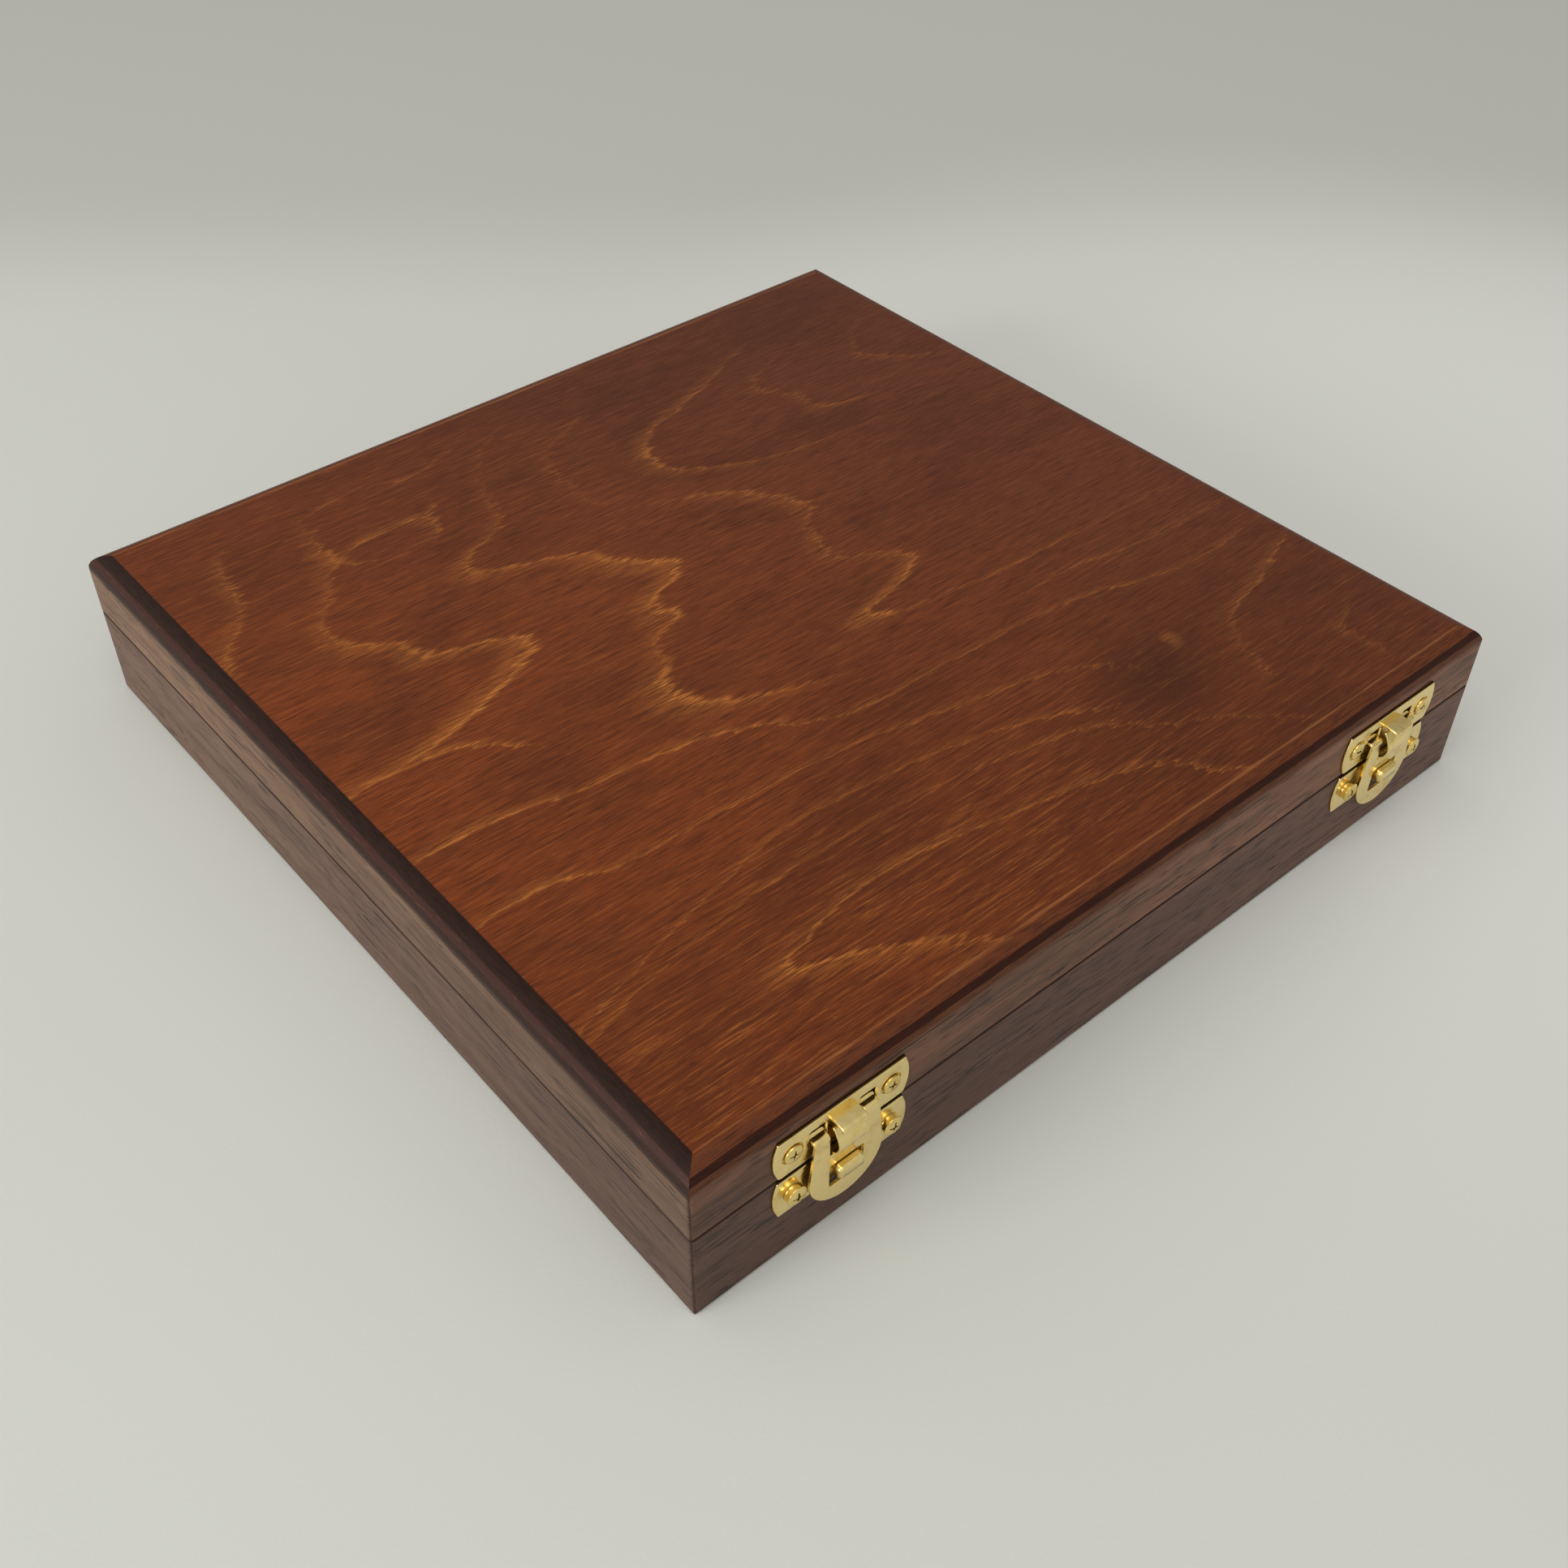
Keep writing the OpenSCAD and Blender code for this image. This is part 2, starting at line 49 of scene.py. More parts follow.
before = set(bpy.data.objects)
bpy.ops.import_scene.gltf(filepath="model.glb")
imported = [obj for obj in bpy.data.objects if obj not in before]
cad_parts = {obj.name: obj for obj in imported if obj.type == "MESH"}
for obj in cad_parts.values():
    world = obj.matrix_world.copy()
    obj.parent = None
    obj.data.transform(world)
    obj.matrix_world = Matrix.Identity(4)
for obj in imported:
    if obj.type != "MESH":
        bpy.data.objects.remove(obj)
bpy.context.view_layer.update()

MM = 0.001
SIDES = ("left", "right")


def node_box(name):
    """Lowest and highest corner of a CAD node at rest, in millimetres."""
    low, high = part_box(name)
    return Vector(low) / MM, Vector(high) / MM


# Places that the pieces take from the frame, in millimetres.
PANEL_LOW, PANEL_HIGH = node_box("lid_top_panel")
SEAM_BASE = node_box("base_front_rail")[1].z
SEAM_LID = node_box("lid_front_rail")[0].z
FRONT = node_box("base_front_rail")[0].y
HALF_W = PANEL_HIGH.x
HALF_D = PANEL_HIGH.y
TOP = PANEL_HIGH.z


def linear(hex_colour):
    """Scene-linear RGBA of an sRGB hex colour such as "#c8b873"."""
    channels = []
    for start in (1, 3, 5):
        value = int(hex_colour[start:start + 2], 16) / 255
        channels.append(value / 12.92 if value <= 0.04045 else ((value + 0.055) / 1.055) ** 2.4)
    return (*channels, 1.0)


# ---------------------------------------------------------------- settings

def length(name, description, millimetres):
    """A length property with its default in millimetres."""
    return FloatProperty(name=name, description=description, default=millimetres * MM, unit="LENGTH", precision=5)


def colour(name, description, hex_colour):
    """A colour property with its default as an sRGB hex value."""
    return FloatVectorProperty(name=name, description=description, default=linear(hex_colour), size=4,
                               subtype="COLOR", min=0.0, max=1.0)


class CASE_PG_wood(bpy.types.PropertyGroup):
    rail: colour("Base rail", "Ground colour of the base's front and back rails", "#6b4b3e")
    lid_rail: colour("Lid rail", "Ground colour of the lid's front and back rails", "#8a5c43")
    # The side rails' colours are greyer copies of the front and back rails' colours: painted sheen of the light at
    # the left.
    sheen_lit_side_rail: colour("Base side rail", "Ground colour of the base's side rails", "#6d5243")
    sheen_lit_side_lid_rail: colour("Lid side rail", "Ground colour of the lid's side rails", "#7c5d46")
    rail_dark: colour("Rail streak", "Darker summer growth in the rails", "#503629")
    # This dark colour serves the pores and the dark joints, and also the painted shade on the rails.
    pore_joint_and_shade: colour("Rail pore", "Open pores that hold the stain", "#22110a")
    veneer: colour("Veneer", "Ground colour of the lid's face veneer at the left", "#803c18")
    veneer_far: colour("Veneer far", "Ground colour of the lid's face veneer at the right", "#6a361f")
    veneer_dark: colour("Veneer shade", "Cloudy darker stain in the face veneer", "#44200f")
    veneer_line: colour("Growth line", "Growth lines that took less stain", "#c07634")
    rubbed: colour("Rubbed edge", "Arrises where sanding thinned the stain", "#80462a")
    top_ply: length("Top ply", "Thickness of the face veneer", 1.2)
    core_ply: length("Core ply", "Thickness of the crossed middle ply", 1.4)
    round_start: length("Rounding", "Distance of the rounding's start from the lid's side", 5.7)


class CASE_PG_catch(bpy.types.PropertyGroup):
    plate: length("Lid plate", "Thickness of the lid plate", 0.8)
    keeper: length("Keeper plate", "Thickness of the keeper plate", 0.7)
    edge: length("Plate edge", "Radius of the turned edge of the pressed plates", 0.45)
    corner: length("Plate corner", "Corner radius at the ends that face the seam", 1.0)
    tip: length("Plate tip", "Corner radius at the pointed ends", 0.6)
    end_radius: length("Bowed end", "Radius of the plates' bowed ends", 14.5)
    bow_drop: length("Bow height", "Depth of the widest line below a plate's top edge", 6.1)
    dimple: length("Dimple", "Radius of the pressed dimples that seat the lid plate's screws", 2.78)
    ear: length("Rolled ear", "Radius of the rolled end of a flap's leg inside its slot", 1.0)
    screw_spacing: length("Screw spacing", "Distance between the screws of a plate", 27.4)
    screw_drop: length("Screw height", "Depth of the screws below a plate's top edge", 6.1)
    window: length("Windows", "Width of the flap's two windows", 9.7)
    crossbar: length("Crossbar", "Height of the bar between the windows", 3.7)
    crossbar_drop: length("Crossbar place", "Drop of the bar below the hinge line", 7.1)
    lower_window: length("Lower window", "Height of the window that snaps over the nose", 7.5)
    flap_thickness: length("Flap", "Thickness of the flap", 0.8)
    bend: length("Bend", "Outer radius of the bend at the top of the flap's legs", 1.2)
    pivot_rise: length("Hinge line", "Height of the hinge line above the lid plate's lower edge", 5.7)
    slot_top: length("Slots", "Height of the slots' top above the lid plate's lower edge", 9.0)
    tab_thickness: length("Tab", "Thickness of the tab", 0.85)
    spring_thickness: length("Tongue", "Thickness of the spring tongue", 0.6)
    hood_wall: length("Nose wall", "Thickness of the nose's walls", 0.7)


class CASE_PG_lining(bpy.types.PropertyGroup):
    velvet: colour("Velvet", "Colour of the lining", "#4a121c")
    crown: length("Crown", "How far the middle of a lined board stands proud of its rim", 0.5)
    rim: length("Rim", "Radius of the fabric where it turns over the board's rim", 1.1)


class CASE_PG_stage(bpy.types.PropertyGroup):
    floor: colour("Floor", "Pale table covering", "#cfd0ca")
    # The far floor's colour is painted shade.
    far: colour("Far floor", "Dimmer covering behind the case", "#bdbdb6")
    azimuth: FloatProperty(name="Camera azimuth", description="Turn of the camera round the case",
                           default=math.radians(-40.834), subtype="ANGLE")
    elevation: FloatProperty(name="Camera elevation", description="Height angle of the camera",
                             default=math.radians(43.18), subtype="ANGLE")
    roll: FloatProperty(name="Camera roll", description="Tilt of the camera about its line of sight",
                        default=math.radians(0.476), subtype="ANGLE")
    place: FloatVectorProperty(name="Camera place", description="Where the lens is",
                               default=(-0.2480, -0.2931, 0.3358), size=3, subtype="TRANSLATION", unit="LENGTH")
    lens: FloatProperty(name="Lens", description="Focal length in millimetres", default=40.435)
    key: FloatProperty(name="Window lamp", description="Power of the lamp at the left", default=23.0, unit="POWER")
    fill: FloatProperty(name="Ceiling lamp", description="Power of the lamp overhead", default=8.0, unit="POWER")
    sky: FloatProperty(name="Room light", description="Strength of the room's light at the left", default=0.86)
    dim: FloatProperty(name="Room shade", description="Strength of the room's light at the right", default=0.36)


# ---------------------------------------------------------------- nodes

# What a kind of node is set to unless a call says otherwise.
USUAL = {"MapRange": {"interpolation_type": "SMOOTHSTEP"}, "Mix": {"data_type": "RGBA"}}


def add(tree, kind, *inputs, sockets=None, **settings):
    """Adds a node and returns its first output. inputs are values or other nodes' outputs for the sockets that
    the node shows, from the top down; sockets gives some by name."""
    node = tree.nodes.new("ShaderNode" + kind)
    for key, value in {**USUAL.get(kind, {}), **settings}.items():
        setattr(node, key, value)
    shown = [socket for socket in node.inputs if socket.enabled]
    given = list(zip(shown, inputs)) + [(node.inputs[key], value) for key, value in (sockets or {}).items()]
    for socket, value in given:
        if isinstance(value, bpy.types.NodeSocket):
            tree.links.new(value, socket)
        else:
            socket.default_value = value
    return next((socket for socket in node.outputs if socket.enabled), None)


def new_material(name):
    """An empty material and its node tree."""
    material = bpy.data.materials.new(name)
    material.use_nodes = True
    material.node_tree.nodes.clear()
    return material, material.node_tree


def surface(tree, tint, roughness, height, strength, depth, **others):
    """Joins a finish from its tint, its roughness and a bump as deep as depth millimetres."""
    bump = add(tree, "Bump", sockets={"Strength": strength, "Distance": depth * MM, "Height": height})
    sockets = {"Base Color": tint, "Roughness": roughness, "Normal": bump}
    sockets.update({key.replace("_", " "): value for key, value in others.items()})
    add(tree, "OutputMaterial", add(tree, "BsdfPrincipled", sockets=sockets))


def grain_space(tree, along="X"):
    """Coordinates in millimetres as (along the grain, across it, up), and the plain X, Y and Z."""
    place = add(tree, "TexCoord").node.outputs["Object"]
    parts = add(tree, "SeparateXYZ", add(tree, "VectorMath", place, 1 / MM, operation="SCALE")).node.outputs
    first, second = ("X", "Y") if along == "X" else ("Y", "X")
    return add(tree, "CombineXYZ", parts[first], parts[second], parts["Z"]), parts


def stretched_noise(tree, place, size, detail=3.0, roughness=0.55, distortion=0.0, offset=(0, 0, 0)):
    """Noise whose features are size = (along, across, up) millimetres."""
    scaled = add(tree, "VectorMath", place, [1 / s for s in size], offset, operation="MULTIPLY_ADD")
    return add(tree, "TexNoise", sockets={"Vector": scaled, "Scale": 1.0, "Detail": detail,
                                          "Roughness": roughness, "Distortion": distortion})


def tinted(tree, ground, over, pattern, low, high, faint=0.0, full=1.0):
    """Lays colour over on the ground, by amount faint where the pattern is at low and full where it is at high."""
    return add(tree, "Mix", add(tree, "MapRange", pattern, low, high, faint, full), ground, over)


def apart(tree, first, second):
    """How far two values lie apart."""
    return add(tree, "Math", add(tree, "Math", first, second, operation="SUBTRACT"), operation="ABSOLUTE")


# ---------------------------------------------------------------- materials

def stained_rail_wood(along, seed, ground_colour):
    """Open-pored hardwood, planed, stained dark and oiled: it shows long soft streaks, short dark pores
    along the grain and a satin sheen that breaks up over the pores."""
    wood = bpy.context.scene.case_wood
    material, tree = new_material(f"Stained meranti, oiled, grain along {along} {seed}")
    place, parts = grain_space(tree, along)
    # Each rail is sawn from another place of the board.
    shift = (seed * 3.7, seed * 11.3, seed * 5.1)
    streak = stretched_noise(tree, place, (80, 5, 5), 4.0, 0.6, 0.4, shift)
    # Fibres are under 0.05 mm wide and are drawn as bundles of 0.3 mm, so that they show.
    fibre = stretched_noise(tree, place, (8, 0.30, 0.30), 3.0, 0.65, 0.0, shift)
    # Pores come in clusters. They are 0.2 to 0.3 mm wide, and drawn about 0.5 mm wide so that they show.
    cluster = stretched_noise(tree, place, (34, 6, 6), 2.0, 0.5, 0.0, shift)
    cluster_lift = add(tree, "Math", cluster, 0.34, operation="MULTIPLY")
    both = []
    for size, roughness in (((6.5, 0.46, 0.46), 0.4), ((15, 0.5, 0.5), 0.3)):
        pore = stretched_noise(tree, place, size, 0.0, roughness, 0.0, shift)
        both.append(add(tree, "MapRange", add(tree, "Math", pore, cluster_lift, operation="ADD"), 0.86, 0.90))
    pores = add(tree, "Math", *both, operation="MAXIMUM")
    ground = tinted(tree, ground_colour, wood.rail_dark, streak, 0.36, 0.70, 0.0, 0.7)
    ground = tinted(tree, ground, wood.rail_dark, fibre, 0.4, 0.75, 0.0, 0.45)
    # The arrises along the seam are rubbed back to a redder brown in places, and mostly outside.
    side_x = add(tree, "Math", parts["X"], operation="ABSOLUTE")
    side_y = add(tree, "Math", parts["Y"], operation="ABSOLUTE")
    furthest = add(tree, "Math", side_x, side_y, operation="MAXIMUM")
    outside = add(tree, "MapRange", furthest, HALF_W - 2.2, HALF_W - 0.6)
    worn = add(tree, "MapRange", stretched_noise(tree, place, (40, 30, 30), 2.0), 0.35, 0.60, 0.25, 0.8)
    worn = add(tree, "Math", worn, add(tree, "Math", outside, 0.8, 0.2, operation="MULTIPLY_ADD"),
               operation="MULTIPLY")
    from_seam = apart(tree, parts["Z"], (SEAM_BASE + SEAM_LID) / 2)
    rag = stretched_noise(tree, place, (9, 1.4, 1.4), 3.0)
    arris = add(tree, "MapRange", add(tree, "Math", rag, 1.4, from_seam, operation="MULTIPLY_ADD"), 1.75, 0.85)
    ground = add(tree, "Mix", add(tree, "Math", arris, worn, operation="MULTIPLY"), ground, wood.rubbed)
    # Painted shade: the rails darken towards the front left corner and in a ragged band under the lid's panel.
    to_corner = add(tree, "Math", parts["X"], parts["Y"], operation="ADD")
    ground = tinted(tree, ground, wood.pore_joint_and_shade, to_corner, 0.0, -2 * HALF_W, 0.0, 0.36)
    ragged_z = add(tree, "Math", rag, 0.6, add(tree, "Math", parts["Z"], 0.3, operation="SUBTRACT"),
                   operation="MULTIPLY_ADD")
    ground = tinted(tree, ground, wood.pore_joint_and_shade, ragged_z, PANEL_LOW.z - 1.1, PANEL_LOW.z - 0.5, 0.0,
                     0.8 if along == "Y" else 0.3)
    # The stain gathers in the joint along the seam and in the mitres, so each shows as a fine dark line.
    joint = add(tree, "MapRange", add(tree, "Math", fibre, 0.3, from_seam, operation="MULTIPLY_ADD"),
                0.74, 0.54, 0.0, 0.95)
    joint = add(tree, "Math", joint, outside, operation="MULTIPLY")
    wavy = add(tree, "Math", stretched_noise(tree, place, (3, 3, 2), 2.0), 0.9, apart(tree, side_x, side_y),
               operation="MULTIPLY_ADD")
    mitre = add(tree, "MapRange", wavy, 1.05, 0.55, 0.0, 0.85)
    dark = add(tree, "Math", pores, 0.8, operation="MULTIPLY")
    for line in (mitre, joint):
        dark = add(tree, "Math", dark, line, operation="MAXIMUM")
    ground = add(tree, "Mix", dark, ground, wood.pore_joint_and_shade)
    roughness = add(tree, "MapRange", fibre, 0.2, 0.8, 0.42, 0.60)
    height = add(tree, "Math", pores, -1.0, add(tree, "Math", fibre, 0.35, operation="MULTIPLY"),
                 operation="MULTIPLY_ADD")
    surface(tree, ground, roughness, height, 0.5, 0.12, IOR=1.5, Specular_IOR_Level=0.3)
    return material


# Growth lines of the rotary-cut face veneer, drawn in millimetres from the lid's back left corner.
# A point is (from the left, from the back, strength). These lines cross the grain, so they run to the front.
CROSSING_LINES = (
    ((33, 20, 0.2), (25, 31, 0.5), (23, 42, 0.6), (21, 51, 0.5), (15, 59, 0.6), (8, 68, 0.7), (6, 76, 0.3)),
    ((53, 25, 0.3), (51, 37, 0.5), (52, 47, 0.7), (46, 53, 0.5), (41, 63, 0.5), (34, 71, 0.6), (34, 77, 0.7),
     (37, 84, 0.8), (46, 91, 0.8), (48, 98, 0.9), (62, 104, 0.9), (72, 109, 1.0), (70, 114, 1.0),
     (54, 122, 1.0), (38, 128, 1.0), (22, 131, 0.9), (6, 133, 0.6)),
    ((85, 44, 0.6), (82, 50, 0.6), (79, 56, 0.4), (72, 59, 0.0)),
    ((128, 18, 0.1), (112, 27, 0.3), (104, 39, 0.3), (100, 52, 0.4), (96, 62, 0.5), (83, 68, 0.6),
     (77, 73, 0.7), (80, 78, 0.8), (90, 82, 0.7), (105, 88, 0.8), (111, 97, 0.9), (117, 103, 1.0),
     (122, 108, 1.0), (119, 113, 0.9), (108, 117, 0.9), (107, 122, 0.9), (109, 127, 0.9), (98, 131, 0.6),
     (94, 141, 0.7), (88, 149, 1.0), (90, 157, 1.0), (95, 162, 0.9), (110, 169, 0.6), (124, 173, 0.4)),
    ((142, 32, 0.3), (127, 40, 0.3), (122, 52, 0.4), (122, 64, 0.4), (125, 74, 0.2)),
    ((129, 78, 0.1), (142, 84, 0.4), (156, 91, 0.6), (163, 99, 0.6), (168, 106, 0.7), (169, 112, 0.6),
     (163, 118, 0.5), (160, 126, 0.6), (158, 133, 0.5), (166, 140, 0.5), (175, 147, 0.7), (170, 152, 0.8),
     (155, 157, 0.8), (148, 159, 1.0), (153, 163, 0.8), (180, 167, 0.3)),
    ((208, 30, 0.3), (188, 39, 0.5), (170, 46, 0.6), (156, 52, 0.6), (150, 60, 0.7), (148, 66, 0.7),
     (153, 73, 0.6), (166, 80, 0.5), (183, 86, 0.4), (212, 88, 0.3)),
    ((214, 42, 0.2), (203, 47, 0.4), (199, 52, 0.5), (203, 58, 0.3), (207, 64, 0.5), (206, 70, 0.4),
     (213, 75, 0.6), (224, 77, 0.2)),
    ((252, 40, 0.1), (243, 48, 0.2), (239, 56, 0.4), (246, 64, 0.4), (256, 71, 0.3), (264, 75, 0.2)),
    ((110, 232, 0.4), (72, 233, 0.6), (57, 237, 0.8), (51, 240, 0.9), (59, 244, 0.9), (70, 249, 0.7),
     (82, 256, 0.7), (92, 264, 0.6)),
    ((264, 208, 0.3), (240, 217, 0.6), (222, 222, 0.4), (215, 231, 0.3), (212, 243, 0.4)),
    ((250, 240, 0.2), (240, 246, 0.4), (241, 256, 0.4)),
)
# These run along the grain, so they cross from left to right.
RUNNING_LINES = (
    ((52, 24, 0.4), (62, 22, 0.5), (74, 21, 0.4), (88, 25, 0.5), (101, 22, 0.4), (112, 16, 0.1)),
    ((50, 50, 0.6), (55, 46, 0.7), (66, 44, 0.8), (78, 44, 0.8), (85, 46, 0.5)),
    ((50, 47, 0.5), (56, 52, 0.7), (62, 55, 0.2)),
    ((5, 130, 0.6), (16, 132, 0.9), (34, 134, 1.0), (41, 138, 0.9), (46, 142, 0.9), (50, 145, 0.3)),
    ((5, 161, 0.7), (22, 161, 0.9), (50, 166, 0.7), (78, 169, 0.8), (94, 174, 0.8), (106, 182, 0.6),
     (121, 187, 0.6), (150, 188, 0.5), (190, 190, 0.5), (205, 193, 0.6), (217, 197, 0.5), (240, 200, 0.4),
     (264, 198, 0.4)),
    ((5, 187, 0.6), (16, 186, 0.8), (28, 187, 0.9), (40, 192, 0.6), (70, 193, 0.6), (112, 196, 0.5),
     (140, 202, 0.6), (160, 206, 0.5), (176, 212, 0.5), (186, 222, 0.2)),
    ((5, 226, 0.6), (30, 218, 0.5), (57, 211, 0.5), (80, 207, 0.6), (110, 209, 0.5), (141, 215, 0.5),
     (162, 223, 0.6), (172, 229, 0.2)),
    ((5, 229, 0.6), (38, 221, 0.4), (75, 218, 0.5), (110, 219, 0.4), (141, 224, 0.5), (163, 231, 0.6),
     (172, 239, 0.5), (187, 247, 0.4), (202, 260, 0.4)),
    ((60, 236, 0.7), (82, 232, 0.7), (96, 233, 0.8), (113, 236, 0.6), (146, 243, 0.6), (161, 248, 0.7),
     (169, 257, 0.7), (178, 264, 0.5)),
    ((178, 168, 0.2), (200, 169, 0.5), (230, 170, 0.3), (264, 171, 0.3)),
    ((186, 180, 0.2), (200, 180, 0.5), (232, 185, 0.4), (264, 186, 0.4)),
    ((205, 186, 0.0), (225, 184, 0.4), (264, 185, 0.3)),
)


def hand_curve(tree, along, points):
    """Height of a drawn curve at the place along; both are shares of the lid's width."""
    height = add(tree, "FloatCurve", sockets={"Value": along})
    mapping = height.node.mapping
    curve = mapping.curves[0]
    for point, place in zip((curve.points[0], curve.points[-1]), (points[0], points[-1])):
        point.location = place
    for place in points[1:-1]:
        curve.points.new(*place)
    for point in curve.points:
        point.handle_type = "AUTO_CLAMPED"
    mapping.update()
    return height


def growth_line(tree, along, across, line, crossing):
    """Strength of one growth line at a place, from its core and from a fainter bloom on one side."""
    width = 2 * HALF_W
    run, rise = (1, 0) if crossing else (0, 1)
    ordered = sorted(line, key=lambda point: point[run])
    shape = [(point[run] / width, point[rise] / width) for point in ordered]
    # The line ends where its strength reaches nothing, just past its last point.
    past = 0.012
    power = [(point[run] / width, point[2] ** 1.5) for point in ordered]
    power = [(power[0][0] - past, 0.0)] + power + [(power[-1][0] + past, 0.0)]
    middle = hand_curve(tree, along, shape)
    strength = hand_curve(tree, along, [(max(0.0, min(1.0, at)), height) for at, height in power])
    # A crossing line is wide because its fibre tips are drawn out along the grain; a running one is narrow.
    spread, least = (1.7, 0.4) if crossing else (0.5, 0.25)
    half = add(tree, "Math", strength, spread / width, least / width, operation="MULTIPLY_ADD")
    if crossing:
        # It is wider still where it runs aslant, by a share of how far it moves sideways in a millimetre.
        ahead = hand_curve(tree, add(tree, "Math", along, 1 / width, operation="ADD"), shape)
        slope = add(tree, "Math", apart(tree, ahead, middle), 0.35, operation="MULTIPLY")
        half = add(tree, "Math", slope, half, operation="ADD")
    off = add(tree, "Math", add(tree, "Math", across, middle, operation="SUBTRACT"), half, operation="DIVIDE")
    core = add(tree, "MapRange", add(tree, "Math", off, operation="ABSOLUTE"), 1.2, 0.1)
    bloom = add(tree, "Math", add(tree, "MapRange", off, -6.0, -0.5),
                add(tree, "MapRange", off, 1.6, 0.2, 0.0, 0.4), operation="MULTIPLY")
    return add(tree, "Math", add(tree, "Math", core, bloom, operation="MAXIMUM"), strength, operation="MULTIPLY")


def growth_lines(tree, place, parts):
    """All growth lines. Fibre tips pull them out along the grain in small teeth."""
    width = 2 * HALF_W
    pull = HALF_W
    for size, reach in (((22, 1.9, 50), 12.0), ((9, 0.55, 50), 7.0)):
        teeth = add(tree, "Math", stretched_noise(tree, place, size, 2.0, 0.6), 0.5, operation="SUBTRACT")
        pull = add(tree, "Math", teeth, reach, pull, operation="MULTIPLY_ADD")
    shake = add(tree, "Math", stretched_noise(tree, place, (5, 3, 50), 3.0, 0.6), 0.5, operation="SUBTRACT")
    lift = add(tree, "Math", shake, 2.2, HALF_D, operation="MULTIPLY_ADD")
    from_left = add(tree, "Math", parts["X"], pull, operation="ADD")
    from_back = add(tree, "Math", lift, parts["Y"], operation="SUBTRACT")
    from_left, from_back = (add(tree, "Math", way, 1 / width, operation="MULTIPLY") for way in (from_left, from_back))
    total = 0.0
    for lines, along, across, crossing in ((CROSSING_LINES, from_back, from_left, True),
                                           (RUNNING_LINES, from_left, from_back, False)):
        for line in lines:
            total = add(tree, "Math", growth_line(tree, along, across, line, crossing), total, operation="MAXIMUM")
    return total


def stained_birch_plywood():
    """Rotary-cut birch plywood, sanded, stained red-brown and sealed in satin: pale ragged growth lines cross
    a cloudy ground with fine dark fibres, and the rounded edge shows the three crossed plies."""
    wood = bpy.context.scene.case_wood
    material, tree = new_material("Stained birch plywood, satin sealed")
    place, parts = grain_space(tree)
    line = growth_lines(tree, place, parts)
    # Ground: clouds of stain, then rays, streaks, fibres and pores along the grain. Birch has fibres under
    # 0.05 mm and pores under 0.1 mm wide; the finest bundles are drawn 0.2 mm wide, so that they show.
    cloud = stretched_noise(tree, place, (60, 34, 50), 3.0, 0.6, 0.3, (9.0, 2.0, 0))
    ray = stretched_noise(tree, place, (16, 0.8, 3), 4.0, 0.75)
    streak = stretched_noise(tree, place, (9, 0.42, 3), 3.0, 0.7)
    fibre = stretched_noise(tree, place, (5, 0.22, 1), 2.0, 0.6)
    pore = stretched_noise(tree, place, (4.5, 0.24, 1), 1.0, 0.4)
    # The face turns redder and duller towards the back right corner and warmer at the left.
    across_lid = add(tree, "Math", parts["Y"], 0.45, parts["X"], operation="MULTIPLY_ADD")
    face = tinted(tree, wood.veneer, wood.veneer_far, across_lid, -HALF_W, HALF_W)
    face = tinted(tree, face, wood.veneer_dark, cloud, 0.42, 0.70, 0.0, 0.42)
    # It is lightest along a line a little behind the middle, and darker towards the front and the back.
    lightest = 15.0
    face = tinted(tree, face, wood.veneer_dark, apart(tree, parts["Y"], lightest), 30.0, 125.0, 0.0, 0.28)
    # A knot's shadow lies near the front right corner, with a lighter fleck beside it.
    for middle, reach, amount, over in (((54, -90), (19, 17), 0.85, wood.veneer_dark),
                                        ((67, -84), (3, 4), 0.28, wood.veneer_line)):
        spot = add(tree, "VectorMath", place, (*middle, 0), operation="SUBTRACT")
        spot = add(tree, "VectorMath", spot, (1 / reach[0], 1 / reach[1], 0), operation="MULTIPLY")
        spot = add(tree, "Math", streak, 1.2, add(tree, "VectorMath", spot, operation="LENGTH"),
                   operation="MULTIPLY_ADD")
        face = tinted(tree, face, over, spot, 1.9, 0.6, 0.0, amount)
    # Golden rays show along the grain, most of all next to the front edge and at the left.
    near_front = add(tree, "MapRange", parts["Y"], 15.0 - HALF_D / 2, 8.0 - HALF_D)
    golden = add(tree, "Math", near_front, 0.36, 0.24, operation="MULTIPLY_ADD")
    near_left = add(tree, "MapRange", parts["X"], 110.0, -50.0, 0.35, 1.0)
    for amount in (near_left, add(tree, "MapRange", ray, 0.50, 0.24)):
        golden = add(tree, "Math", amount, golden, operation="MULTIPLY")
    face = add(tree, "Mix", golden, face, wood.veneer_line)
    face = tinted(tree, face, wood.veneer_dark, ray, 0.46, 0.72, 0.0, 0.50)
    broken = add(tree, "Math", line, add(tree, "MapRange", streak, 0.66, 0.38, 0.35, 1.0), operation="MULTIPLY")
    face = add(tree, "Mix", add(tree, "Math", broken, 0.9, operation="MULTIPLY"), face, wood.veneer_line)
    face = tinted(tree, face, wood.veneer_dark, streak, 0.46, 0.70, 0.0, 0.72)
    face = tinted(tree, face, wood.veneer_dark, fibre, 0.48, 0.72, 0.0, 0.50)
    pores = add(tree, "MapRange", pore, 0.66, 0.74, 0.0, 0.45)
    face = add(tree, "Mix", pores, face, wood.pore_joint_and_shade)
    roughness = add(tree, "MapRange", fibre, 0.2, 0.8, 0.34, 0.48)
    height = add(tree, "Math", fibre, 0.5, operation="MULTIPLY")
    for amount, pattern in ((-0.8, pores), (0.4, ray)):
        height = add(tree, "Math", pattern, amount, height, operation="MULTIPLY_ADD")
    surface(tree, ply_edge(tree, place, parts, face), roughness, height, 0.30, 0.1, IOR=1.5, Specular_IOR_Level=0.15)
    return material


